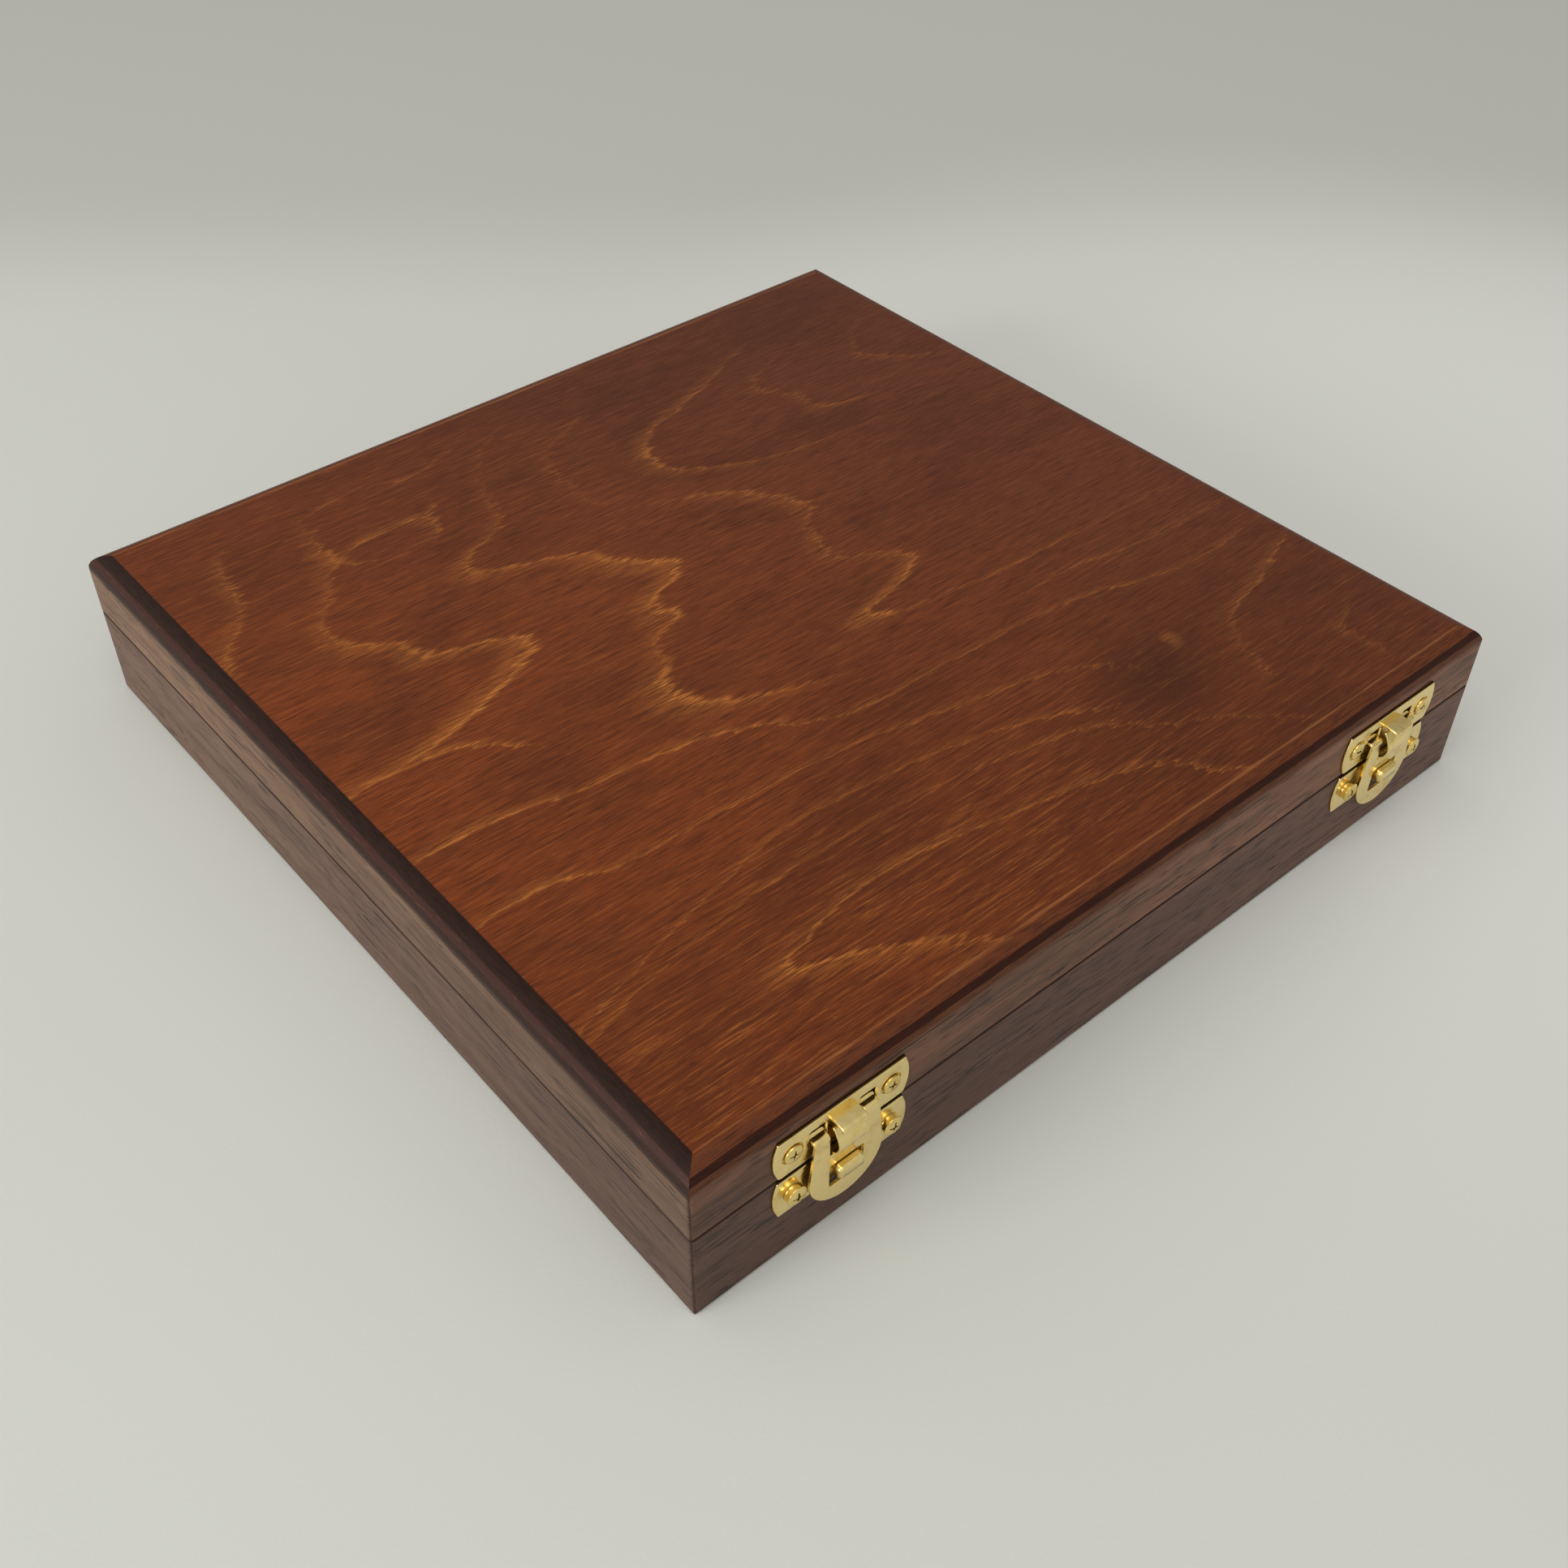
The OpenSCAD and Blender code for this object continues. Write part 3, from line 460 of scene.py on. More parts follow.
def ply_edge(tree, place, parts, face):
    """Colour face turned over the rounded edge: the ends across the grain show end grain, the front long grain."""
    wood = bpy.context.scene.case_wood
    side_x = add(tree, "Math", parts["X"], operation="ABSOLUTE")
    side_y = add(tree, "Math", parts["Y"], operation="ABSOLUTE")
    on_end = add(tree, "Math", add(tree, "Math", side_x, HALF_W, operation="SUBTRACT"),
                 add(tree, "Math", side_y, HALF_D, operation="SUBTRACT"), operation="GREATER_THAN")
    # The bands of the plies wander a little, and one ends where the next begins.
    wobble = add(tree, "Math", stretched_noise(tree, place, (9, 9, 2), 2.0), 0.35, parts["Z"],
                 operation="MULTIPLY_ADD")
    top_floor = TOP - wood.top_ply / MM
    core_floor = top_floor - wood.core_ply / MM
    below_top, below_core = (add(tree, "MapRange", wobble, floor + 0.26, floor + 0.10)
                             for floor in (top_floor, core_floor))
    # The two stains of each ply, from the top one down, and the grit's values between which they change.
    end_plies = (("#2c1811", "#1f110c", 0.35, 0.7), ("#3a2019", "#573528", 0.58, 0.72),
                 ("#321e16", "#24150f", 0.4, 0.7))
    long_plies = (("#64341b", "#472211", 0.42, 0.68), ("#381609", "#260e06", 0.35, 0.7),
                  ("#5e3823", "#422616", 0.4, 0.68))
    sides = []
    for grit_size, plies in (((0.5, 5, 0.3), end_plies), ((6, 0.5, 0.25), long_plies)):
        grit = stretched_noise(tree, place, grit_size, 3.0, 0.6)
        top, core, low = (tinted(tree, linear(first), linear(second), grit, start, stop)
                          for first, second, start, stop in plies)
        sides.append(add(tree, "Mix", below_core, add(tree, "Mix", below_top, top, core), low))
    end_side, long_side = sides
    edge_x, edge_y = HALF_W - wood.round_start / MM, HALF_D - wood.round_start / MM
    # The end grain drinks more stain at the left end, so it starts darker there than at the right.
    end_x = add(tree, "Math", add(tree, "Math", parts["X"], -1.0, operation="MULTIPLY"),
                add(tree, "Math", parts["X"], 3.4, operation="SUBTRACT"), operation="MAXIMUM")
    end_edge = tinted(tree, face, end_side, end_x, edge_x - 0.1, edge_x + 0.35)
    front_edge = tinted(tree, face, long_side, side_y, edge_y + 0.4, edge_y + 1.6)
    # A painted highlight: a lighter, ragged line where the rounding starts.
    rounding_highlight = add(tree, "Math", stretched_noise(tree, place, (14, 2, 2), 3.0), 1.2, apart(tree, side_y, edge_y + 0.2),
              operation="MULTIPLY_ADD")
    front_edge = tinted(tree, front_edge, linear("#9a6238"), rounding_highlight, 1.15, 0.60, 0.0, 0.55)
    return add(tree, "Mix", on_end, front_edge, end_edge)


def plain_bottom_plywood():
    """Plain birch plywood, stained once and left matt: an even brown with faint long fibres."""
    wood = bpy.context.scene.case_wood
    material, tree = new_material("Stained birch plywood, matt")
    place, _ = grain_space(tree)
    cloud = stretched_noise(tree, place, (90, 30, 50), 4.0)
    fibre = stretched_noise(tree, place, (12, 0.5, 1), 4.0, 0.65)
    ground = tinted(tree, linear("#6a4129"), linear("#54331f"), cloud, 0.35, 0.7)
    ground = tinted(tree, ground, wood.veneer_dark, fibre, 0.45, 0.75, 0.0, 0.6)
    surface(tree, ground, add(tree, "MapRange", fibre, 0.2, 0.8, 0.55, 0.75), fibre, 0.4, 0.1)
    return material


def brass(name, ground, handled, roughness, wave):
    """Sheet or turned brass. A slow ripple from the press or the buffing wheel bends its reflections, a
    finer one clouds them, and faint handling marks warm the colour and dull the gloss."""
    material, tree = new_material(name)
    place, _ = grain_space(tree)
    ripple = stretched_noise(tree, place, (4.5, 4.5, 3.5), 2.0, 0.5)
    haze = stretched_noise(tree, place, (0.8, 0.8, 0.8), 4.0, 0.65)
    # Buffing scratches are about 0.01 mm wide and are drawn 0.12 mm wide, so that they show.
    scratch = stretched_noise(tree, place, (5.0, 0.12, 0.12), 2.0, 0.6, 0.6)
    mark = add(tree, "MapRange", stretched_noise(tree, place, (6, 6, 6), 3.0, 0.6, 0.5), 0.48, 0.72)
    tint = add(tree, "Mix", add(tree, "Math", mark, 0.6, operation="MULTIPLY"), linear(ground), linear(handled))
    dull = add(tree, "MapRange", haze, 0.3, 0.7, roughness, roughness + 0.07)
    for pattern in (mark, add(tree, "MapRange", scratch, 0.62, 0.75)):
        dull = add(tree, "Math", pattern, 0.08, dull, operation="MULTIPLY_ADD")
    height = add(tree, "Math", haze, 0.03, add(tree, "Math", ripple, wave, operation="MULTIPLY"),
                 operation="MULTIPLY_ADD")
    surface(tree, tint, dull, height, 0.6, 0.4, Metallic=1.0)
    return material


def lining_velvet():
    """Short-pile cotton velvet glued over board: the pile catches light at its edges and lies in soft patches."""
    lining = bpy.context.scene.case_lining
    material, tree = new_material("Cotton velvet, short pile")
    place, _ = grain_space(tree)
    nap = stretched_noise(tree, place, (28, 40, 28), 4.0, 0.55, 0.8)
    # The pile's tufts are about 0.4 mm apart and drawn at 0.6 mm so that they show.
    pile = stretched_noise(tree, place, (0.6, 0.6, 0.6), 2.0, 0.7)
    dark = (*(channel * 0.45 for channel in lining.velvet[:3]), 1.0)
    ground = tinted(tree, lining.velvet, dark, nap, 0.35, 0.65)
    ground = tinted(tree, ground, dark, pile, 0.35, 0.75, 0.0, 0.7)
    surface(tree, ground, 0.95, pile, 0.9, 0.3, Sheen_Weight=0.6, Sheen_Roughness=0.35, Sheen_Tint=linear("#b0707c"))
    return material


# ---------------------------------------------------------------- mesh code, in millimetres

def finish_mesh(name, bm, *materials, smooth=True):
    """Turns a mesh drawn in millimetres into an object in metres, at the origin."""
    merge_within = 0.0004
    bmesh.ops.remove_doubles(bm, verts=bm.verts, dist=merge_within)
    bmesh.ops.recalc_face_normals(bm, faces=bm.faces)
    for face in bm.faces:
        face.smooth = smooth
    bmesh.ops.scale(bm, vec=(MM, MM, MM), verts=bm.verts)
    mesh = bpy.data.meshes.new(name)
    bm.to_mesh(mesh)
    bm.free()
    for material in materials:
        mesh.materials.append(material)
    piece = bpy.data.objects.new(name, mesh)
    bpy.context.scene.collection.objects.link(piece)
    if smooth:
        weighted = piece.modifiers.new("Even shading", "WEIGHTED_NORMAL")
        weighted.keep_sharp = True
        weighted.weight = 100
    return piece


def catch_point(middle, x, out, z):
    """A place on a catch, out from the case's front, in the frame's millimetres."""
    return Vector((middle + x, FRONT - out, z))


def rounded_outline(corners, steps=6):
    """Closed outline through corners (x, z, radius), each turned by an arc of its radius."""
    points = []
    for index, (x, z, radius) in enumerate(corners):
        here = Vector((x, z))
        before = (Vector(corners[index - 1][:2]) - here).normalized()
        after = (Vector(corners[(index + 1) % len(corners)][:2]) - here).normalized()
        if radius <= 0:
            points.append(here)
            continue
        half = before.angle(after) / 2
        centre = here + (before + after).normalized() * (radius / math.sin(half))
        start = here + before * (radius / math.tan(half)) - centre
        stop = here + after * (radius / math.tan(half)) - centre
        turn = math.atan2(start.x * stop.y - start.y * stop.x, start.dot(stop))
        for step in range(steps + 1):
            points.append(centre + Matrix.Rotation(turn * step / steps, 2) @ start)
    return points


def circle_outline(x, z, radius, count=48):
    """Closed round outline of count points."""
    turns = [2 * math.pi * k / count for k in range(count)]
    return [Vector((x + radius * math.cos(turn), z + radius * math.sin(turn))) for turn in turns]


def mirrored(corners):
    """Outline corners (x, z, radius) on the other side of the middle, in the same sense of turning."""
    return [(-x, z, radius) for x, z, radius in reversed(corners)]


def moved_in(points, distance):
    """An anticlockwise outline moved inwards by distance. A very sharp corner moves less than its sides would."""
    least_cosine = 0.35
    moved = []
    for index, here in enumerate(points):
        before = here - points[index - 1]
        after = points[(index + 1) % len(points)] - here
        first = Vector((-before.y, before.x)).normalized()
        second = Vector((-after.y, after.x)).normalized()
        middle = (first + second).normalized()
        moved.append(here + middle * (distance / max(least_cosine, middle.dot(first))))
    return moved


def join_loops(bm, loops):
    """Faces from each loop of points to the next one. A loop of one point is a tip."""
    faces = []
    for low, high in zip(loops, loops[1:]):
        for k in range(max(len(low), len(high))):
            corners = [low[k % len(low)], low[(k + 1) % len(low)], high[(k + 1) % len(high)], high[k % len(high)]]
            faces.append(bm.faces.new(list(dict.fromkeys(corners))))
    return faces


def add_sheet(bm, place, outline, holes, back, front, edge, hole_edge, back_edge=0.0, steps=4):
    """Pressed sheet between back and front with rounded edges, round its outline and round its holes."""
    quarter = [math.pi / 2 * step / steps for step in range(steps + 1)]

    def section(radius):
        """The edge's section from back to front, as (distance inwards, place outwards)."""
        stops = [(back_edge * (1 - math.sin(turn)), back + back_edge * (1 - math.cos(turn)))
                 for turn in (quarter if back_edge else quarter[:1])]
        return stops + [(radius * (1 - math.cos(turn)), front - radius + radius * math.sin(turn))
                        for turn in quarter]

    front_edges, back_edges = [], []
    for points, radius, inward in [(outline, edge, 1)] + [(hole, hole_edge, -1) for hole in holes]:
        loops = []
        for inset, out in section(radius):
            loops.append([bm.verts.new(place(p.x, out, p.y)) for p in moved_in(points, inward * inset)])
        join_loops(bm, loops)
        count = len(points)
        front_edges += [bm.edges.get((loops[-1][k], loops[-1][(k + 1) % count])) for k in range(count)]
        back_edges += [bm.edges.get((loops[0][k], loops[0][(k + 1) % count])) for k in range(count)]
    bmesh.ops.triangle_fill(bm, use_beauty=True, use_dissolve=False, edges=front_edges)
    bmesh.ops.triangle_fill(bm, use_beauty=True, use_dissolve=False, edges=back_edges)


def add_strip(bm, place, path, half_width, thickness, edge, steps=3):
    """Strip of sheet that follows path, a list of (out, z), with rounded edges and ends."""
    half = thickness / 2
    ring = []
    for side_x, side_n, start in ((1, 1, 0), (-1, 1, 90), (-1, -1, 180), (1, -1, 270)):
        for step in range(steps + 1):
            turn = math.radians(start + 90 * step / steps)
            ring.append((side_x * (half_width - edge) + edge * math.cos(turn),
                         side_n * (half - edge) + edge * math.sin(turn)))
    # Each end is a smaller section, a short step before the full one.
    end_share, end_step = 0.72, edge * 0.35
    points = [Vector(p) for p in path]
    last = len(points) - 1
    stops = {0: [(0.0, end_share), (end_step, 1.0)], last: [(-end_step, 1.0), (0.0, end_share)]}
    loops = []
    for index, here in enumerate(points):
        ahead = (points[min(index + 1, last)] - points[max(index - 1, 0)]).normalized()
        normal = Vector((ahead.y, -ahead.x))
        for shift, share in stops.get(index, [(0.0, 1.0)]):
            loop = []
            for x, n in ring:
                narrower = x * (1 - (1 - share) * half / half_width)
                spot = here + ahead * shift + normal * (n * share)
                loop.append(bm.verts.new(place(narrower, spot.x, spot.y)))
            loops.append(loop)
    join_loops(bm, loops)
    bm.faces.new(loops[0])
    bm.faces.new(loops[-1])


def turned_loop(bm, place, radius, height, segments):
    """One loop of points round a turned form, or its tip."""
    if radius == 0:
        return [bm.verts.new(place(0, height, 0))]
    turns = [2 * math.pi * k / segments for k in range(segments)]
    return [bm.verts.new(place(radius * math.cos(turn), height, radius * math.sin(turn))) for turn in turns]


def add_turned(bm, place, profile, segments):
    """Turned form: profile is a list of (radius, height); place gives (x, height, y) a spot."""
    join_loops(bm, [turned_loop(bm, place, radius, height, segments) for radius, height in profile])


def add_cross_head(bm, place, radius, dome, rim, recess, turn):
    """Screw head seen from its outside: a dome with a rounded rim and a pressed cross recess. The faces of
    the recess take the second material: painted shade, with the dark polish that stays there."""
    rings, segments = 26, 80
    depth, span, width = recess
    arm = span / 2
    snap = 0.055  # points as near as this to an arm's side lie on it
    wall = 0.26   # how wide the sloping wall of the recess is
    loops = [turned_loop(bm, place, 0, dome(0) - depth, 1)]
    sunk = {loops[0][0]}
    for ring in range(1, rings + 1):
        r = radius * ring / rings
        loop = []
        for k in range(segments):
            angle = 2 * math.pi * k / segments
            spot = [r * math.cos(angle - turn), r * math.sin(angle - turn)]
            across = 1 if abs(spot[0]) > abs(spot[1]) else 0
            reached = abs(spot[1 - across])
            # Each arm narrows towards its end, from 1.3 times its width to 0.7 times, as the driver leaves it.
            half = width * 0.5 * (1.3 - 0.6 * min(1.0, reached / arm))
            if reached < arm and abs(abs(spot[across]) - half) < snap:
                spot[across] = math.copysign(half, spot[across])
            past = max(reached - arm, abs(spot[across]) - half)
            x = spot[0] * math.cos(turn) - spot[1] * math.sin(turn)
            y = spot[0] * math.sin(turn) + spot[1] * math.cos(turn)
            inside = min(1.0, max(0.0, 0.5 - past / wall))
            inside = inside * inside * (3 - 2 * inside)
            sink = depth * inside * (1 - 0.5 * min(1.0, r / arm) ** 2)
            vert = bm.verts.new(place(x, dome(r) - sink, y))
            if inside > 0.4:
                sunk.add(vert)
            loop.append(vert)
        loops.append(loop)
    loops += [turned_loop(bm, place, r, height, segments) for r, height in rim]
    for face in join_loops(bm, loops):
        if all(vert in sunk for vert in face.verts):
            face.material_index = 1
    bm.faces.new(loops[-1])


def add_threaded_shank(bm, place, radius, start, stop, pitch=0.9):
    """Wood screw shank from start down to its point at stop, with ring-shaped thread crests."""
    plain, root, point = 2.0, 0.72, 1.4  # length without thread, share of radius between crests, point's length
    height = start - plain
    profile = [(0, start), (radius, start), (radius, height)]
    while height - pitch > stop + point + 0.2:
        profile += [(radius * root, height - pitch * 0.35), (radius, height - pitch * 0.7)]
        height -= pitch
    profile += [(radius * 0.7, stop + point), (0, stop)]
    add_turned(bm, place, profile, 24)


def paint(node_name, material):
    """Gives a CAD node its finish."""
    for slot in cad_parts[node_name].material_slots:
        slot.material = material


# ---------------------------------------------------------------- parts of the catches

# Sizes that the pieces of a catch share, in millimetres. Out is away from the case's front.
OFF_WOOD = 0.02    # a plate's back stands this far off the wood, so that the two don't flicker
FLAP_TOP = 9.1     # half the width of the flap's top
PIVOT_OUT = -0.65  # the hinge line lies behind the case's front
FOOT_OUT = 2.05    # where the spring tongue stands on the crossbar


def catch_middle(side):
    """The catch's middle, from left to right."""
    low, high = node_box("catch_plate_" + side)
    return (low.x + high.x) / 2


def pivot_height(catch, side):
    """Height of the line that the flap turns about."""
    return node_box("catch_plate_" + side)[0].z + catch.pivot_rise / MM


def plate_outline(catch, node, seam_is_below):
    """Outline of a catch plate: bowed ends, soft corners towards the seam and pointed ones away from it."""
    low, high = node_box(node)
    bottom, top, half_width = low.z, high.z, (high.x - low.x) / 2
    end = catch.end_radius / MM
    bow_z = top - catch.bow_drop / MM

    def half_at(z):
        return half_width - end + math.sqrt(end ** 2 - (z - bow_z) ** 2)

    soft, tip = catch.corner / MM, catch.tip / MM
    low_radius, high_radius = (soft, tip) if seam_is_below else (tip, soft)
    # The bow's points keep away from the corners, which have roundings of their own.
    bow = [(half_at(z), z, 0) for z in (bottom + (top - bottom) * k / 12 for k in range(3, 10))]
    right = [(half_at(bottom), bottom, low_radius), *bow, (half_at(top), top, high_radius)]
    left = mirrored(right)
    return rounded_outline(left[-1:] + right + left[:-1])


def head_dome(crown, ball):
    """Height of a screw head's domed face at a distance from its middle."""
    return lambda r: crown - ball + math.sqrt(ball ** 2 - r ** 2)


def darken_top_edge(bm, top, front):
    """Gives the cut edge along the top of a plate the second material: a painted dark reflection that shows as a thin
    line.
    """
    level, edge_height = 0.6, 0.5
    bm.normal_update()
    for face in bm.faces:
        middle = face.calc_center_median()
        if abs(face.normal.z) > level and middle.z > top - edge_height and middle.y > FRONT - front:
            face.material_index = 1


def add_hood(bm, place, half_width, root, out, lip, roof, wall):
    """Pressed nose: rounded roof, outer face and cheeks, open underneath and behind."""
    round_by, near = 1.15, 0.01
    hood = bmesh.new()
    bmesh.ops.create_cube(hood, size=1.0)
    for vert in hood.verts:
        x, y, z = vert.co
        vert.co = (2 * half_width * x, root + (out - root) * (y + 0.5), lip + (roof - lip) * (z + 0.5))

    def all_at(part, axis, value):
        return all(abs(vert.co[axis] - value) < near for vert in part.verts)

    def is_open(part):
        return all_at(part, 2, lip) or all_at(part, 1, root)

    rounded = [edge for edge in hood.edges if (all_at(edge, 1, out) or all_at(edge, 2, roof)) and not is_open(edge)]
    bmesh.ops.bevel(hood, geom=rounded, offset=round_by, segments=6, profile=0.5, affect="EDGES")
    bmesh.ops.delete(hood, geom=[face for face in hood.faces if is_open(face)], context="FACES")
    bmesh.ops.recalc_face_normals(hood, faces=hood.faces)
    bmesh.ops.solidify(hood, geom=hood.faces[:], thickness=wall)
    for vert in hood.verts:
        vert.co = place(*vert.co)
    shell = bpy.data.meshes.new("hood")
    hood.to_mesh(shell)
    hood.free()
    bm.from_mesh(shell)
    bpy.data.meshes.remove(shell)


# ---------------------------------------------------------------- operators

class CASE_OT_wood(bpy.types.Operator):
    """Stains the rails and plies of the case"""
    bl_idname = "case.wood"
    bl_label = "Wood"

    def execute(self, context):
        wood = context.scene.case_wood
        # The side rails take the copies with the painted sheen.
        colours = {"X": (wood.rail, wood.lid_rail), "Y": (wood.sheen_lit_side_rail, wood.sheen_lit_side_lid_rail)}
        seed = 0
        for name, along in (("front", "X"), ("back", "X"), ("left", "Y"), ("right", "Y")):
            for part, ground in zip(("base_", "lid_"), colours[along]):
                paint(part + name + "_rail", stained_rail_wood(along, seed, ground))
                seed += 1
        paint("lid_top_panel", stained_birch_plywood())
        paint("base_bottom_panel", plain_bottom_plywood())
        return {"FINISHED"}


class CASE_OT_catches(bpy.types.Operator):
    """Presses the two catches: lid plate, flap, spring tongue and keeper"""
    bl_idname = "case.catches"
    bl_label = "Catches"

    def execute(self, context):
        catch = context.scene.case_catch
        pressed = brass("Pressed brass sheet, bright", "#f6dd97", "#dcbc6c", 0.17, 1.0)
        # The second sheet finish is a painted dark reflection along the plates' top edges.
        cut = brass("Pressed brass sheet, tarnished at the cut edge", "#4f3b1c", "#32240f", 0.40, 0.5)
        for side in SIDES:
            middle = catch_middle(side)

            def place(x, out, z, middle=middle):
                return catch_point(middle, x, out, z)

            self.lid_plate(catch, side, place, pressed, cut)
            self.flap(catch, side, place, pressed)
            self.tongue(catch, side, place, pressed)
            self.keeper(catch, side, place, pressed, cut)
        return {"FINISHED"}

    def lid_plate(self, catch, side, place, *materials):
        """Plate on the lid: it holds the flap's ears, the screws' dimples and the tab that the spring presses on."""
        node = "catch_plate_" + side
        low, high = node_box(node)
        face = catch.plate / MM
        screw_x = catch.screw_spacing / MM / 2
        screw_z = high.z - catch.screw_drop / MM
        dimple = catch.dimple / MM
        # The slots that hold the flap's ears, with rounder corners at their tops.
        inner, outer = catch.window / MM / 2 - 0.15, FLAP_TOP + 0.2
        bottom, top = pivot_height(catch, side) - 0.8, low.z + catch.slot_top / MM
        slot = [(inner, bottom, 0.35), (outer, bottom, 0.35), (outer, top, 0.6), (inner, top, 0.6)]
        holes = []
        for s, corners in ((-1, mirrored(slot)), (1, slot)):
            holes += [rounded_outline(corners), circle_outline(s * screw_x, screw_z, dimple)]
        bm = bmesh.new()
        add_sheet(bm, place, plate_outline(catch, node, True), holes, OFF_WOOD, face, catch.edge / MM, 0.38)
        # Painted dark reflection along the plate's top edge.
        darken_top_edge(bm, high.z, face)
        for s in (-1, 1):
            def cup(x, out, z, s=s):
                return place(s * screw_x + x, out, screw_z + z)

            # The dimple turns in from the face and runs down to the screw's hole.
            add_turned(bm, cup, [(dimple + 0.05, face - 0.3), (dimple - 0.03, face - 0.5), (dimple - 0.2, 0.12),
                                 (dimple - 0.5, 0.06), (1.2, 0.05)], 48)
        # The tab runs out level, then turns down at a crisp bend.
        bend, bend_out, tip, half_width, edge = 0.62, 3.92, 0.22, 3.5, 0.3
        tab = [(0.4, high.z - 3.44), (2.0, high.z - 3.60), (bend_out - 0.1, high.z - 3.80)]
        centre = Vector((bend_out, high.z - 3.84 - bend))
        for degrees in (80, 60, 40, 20, 0):
            turn = math.radians(degrees)
            tab.append((centre.x + bend * math.cos(turn), centre.y + bend * math.sin(turn)))
        tab.append((bend_out + bend, centre.y - tip))
        add_strip(bm, place, tab, half_width, catch.tab_thickness / MM, edge)
        piece = finish_mesh("Lid_plate_" + side, bm, *materials)
        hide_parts(node)
        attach(piece, "lid")

    def flap(self, catch, side, place, material):
        """Cut flat from sheet, with its legs bent back about the hinge line afterwards."""
        node = "catch_flap_" + side
        low, high = node_box(node)
        half_low = (high.x - low.x) / 2
        round_z = low.z + half_low
        window = catch.window / MM / 2
        pivot = pivot_height(catch, side)
        bar_top = pivot - catch.crossbar_drop / MM
        bar_low = bar_top - catch.crossbar / MM
        sill = bar_low - catch.lower_window / MM
        thick = catch.flap_thickness / MM
        front = FRONT - low.y
        bend = catch.bend / MM
        bend_z = pivot + thick / 2 - bend
        # Sheet keeps its length at mid thickness: round the bend, then back to the hinge line.
        neutral = bend - thick / 2
        bent = neutral * math.pi / 2
        tip_z = bend_z + bent + (front - bend - PIVOT_OUT)
        window_round, tip_round = 0.7, 0.1
        right = [(FLAP_TOP, bend_z, 0), (FLAP_TOP, tip_z, tip_round), (window, tip_z, tip_round),
                 (window, bar_top, window_round)]
        turns = [math.radians(degrees) for degrees in range(180, 361, 6)]
        foot = [(half_low * math.cos(turn), round_z + half_low * math.sin(turn), 0) for turn in turns]
        outline = rounded_outline(foot + right + mirrored(right))
        hole = rounded_outline([(x, z, window_round) for x, z in ((-window, sill), (window, sill),
                                                                  (window, bar_low), (-window, bar_low))])

        def flat(x, out, z):
            return Vector((x, out, z))

        bm = bmesh.new()
        add_sheet(bm, flat, outline, [hole], front - thick, front, 0.28, 0.22, back_edge=0.12)
        # Rows of cuts let the legs bend smoothly.
        cuts = 8
        for step in range(cuts + 1):
            bmesh.ops.bisect_plane(bm, geom=bm.verts[:] + bm.edges[:] + bm.faces[:], dist=0.0001,
                                   plane_co=(0, 0, bend_z + bent * step / cuts), plane_no=(0, 0, 1))
        for vert in bm.verts:
            x, out, z = vert.co
            past = z - bend_z
            if past > 0:
                turn = min(past / neutral, math.pi / 2)
                radius = bend - (front - out)
                out = front - bend + radius * math.cos(turn) - max(0.0, past - bent)
                z = bend_z + radius * math.sin(turn)
            vert.co = place(x, out, z)
        # Each leg ends in a rolled ear, whose thinner ends lie behind the plate on both sides of the slot.
        ear = catch.ear / MM
        half = [(ear, 2.1), (ear - 0.08, 2.22), (0.54, 2.3), (0.54, 2.86), (0.4, 3.0), (0, 3.0)]
        for s in (-1, 1):
            def barrel(a, height, b, s=s):
                return place(s * (FLAP_TOP + window) / 2 + height, PIVOT_OUT + a, pivot + b)

            add_turned(bm, barrel, [(r, -h) for r, h in reversed(half)] + half, 32)
        piece = finish_mesh("Flap_" + side, bm, material)
        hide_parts(node)
        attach(piece, "catch_" + side)

    def tongue(self, catch, side, place, material):
        """Spring strip from the flap's crossbar, bowed out and back in under the tab."""
        node = "catch_spring_" + side
        low, high = node_box(node)
        thick = catch.spring_thickness / MM
        foot_z = pivot_height(catch, side) - catch.crossbar_drop / MM
        rise = high.z - foot_z
        bow = FRONT - low.y - thick / 2 - FOOT_OUT
        steps = 14
        path = [(FOOT_OUT, foot_z - 0.15), (FOOT_OUT + 0.03, foot_z + 0.5)]
        for step in range(1, steps + 1):
            share = step / steps
            swell = math.sin(math.pi * (0.06 + 0.94 * share) ** 0.85)
            path.append((FOOT_OUT + bow * max(0.0, swell) - 0.25 * share, foot_z + 0.6 + (rise - 1.0) * share))
        bm = bmesh.new()
        add_strip(bm, place, path, (high.x - low.x) / 2, thick, 0.22)
        piece = finish_mesh("Spring_tongue_" + side, bm, material)
        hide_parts(node)
        # The places of its foot and of its top at the tab are worked out, but nothing uses them.
        top = place(0, 1.7, high.z) * MM
        bottom = place(0, 2.1, foot_z + 0.4) * MM
        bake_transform(piece)

    def keeper(self, catch, side, place, *materials):
        """Plate on the base with the hooded nose that the flap's lower window snaps over."""
        node = "keeper_" + side
        low, high = node_box(node)
        face = catch.keeper / MM
        bm = bmesh.new()
        add_sheet(bm, place, plate_outline(catch, node, False), [], OFF_WOOD, face, catch.edge / MM, 0.3)
        # Painted dark reflection along the keeper's top edge.
        darken_top_edge(bm, high.z, face)
        half_width, height, below_window, sunk = 3.7, 3.0, 0.35, 0.2
        roof = pivot_height(catch, side) - (catch.crossbar_drop + catch.crossbar) / MM - below_window
        add_hood(bm, place, half_width, face - sunk, FRONT - low.y, roof - height, roof, catch.hood_wall / MM)
        piece = finish_mesh("Keeper_" + side, bm, *materials)
        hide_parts(node)
        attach(piece, "base")


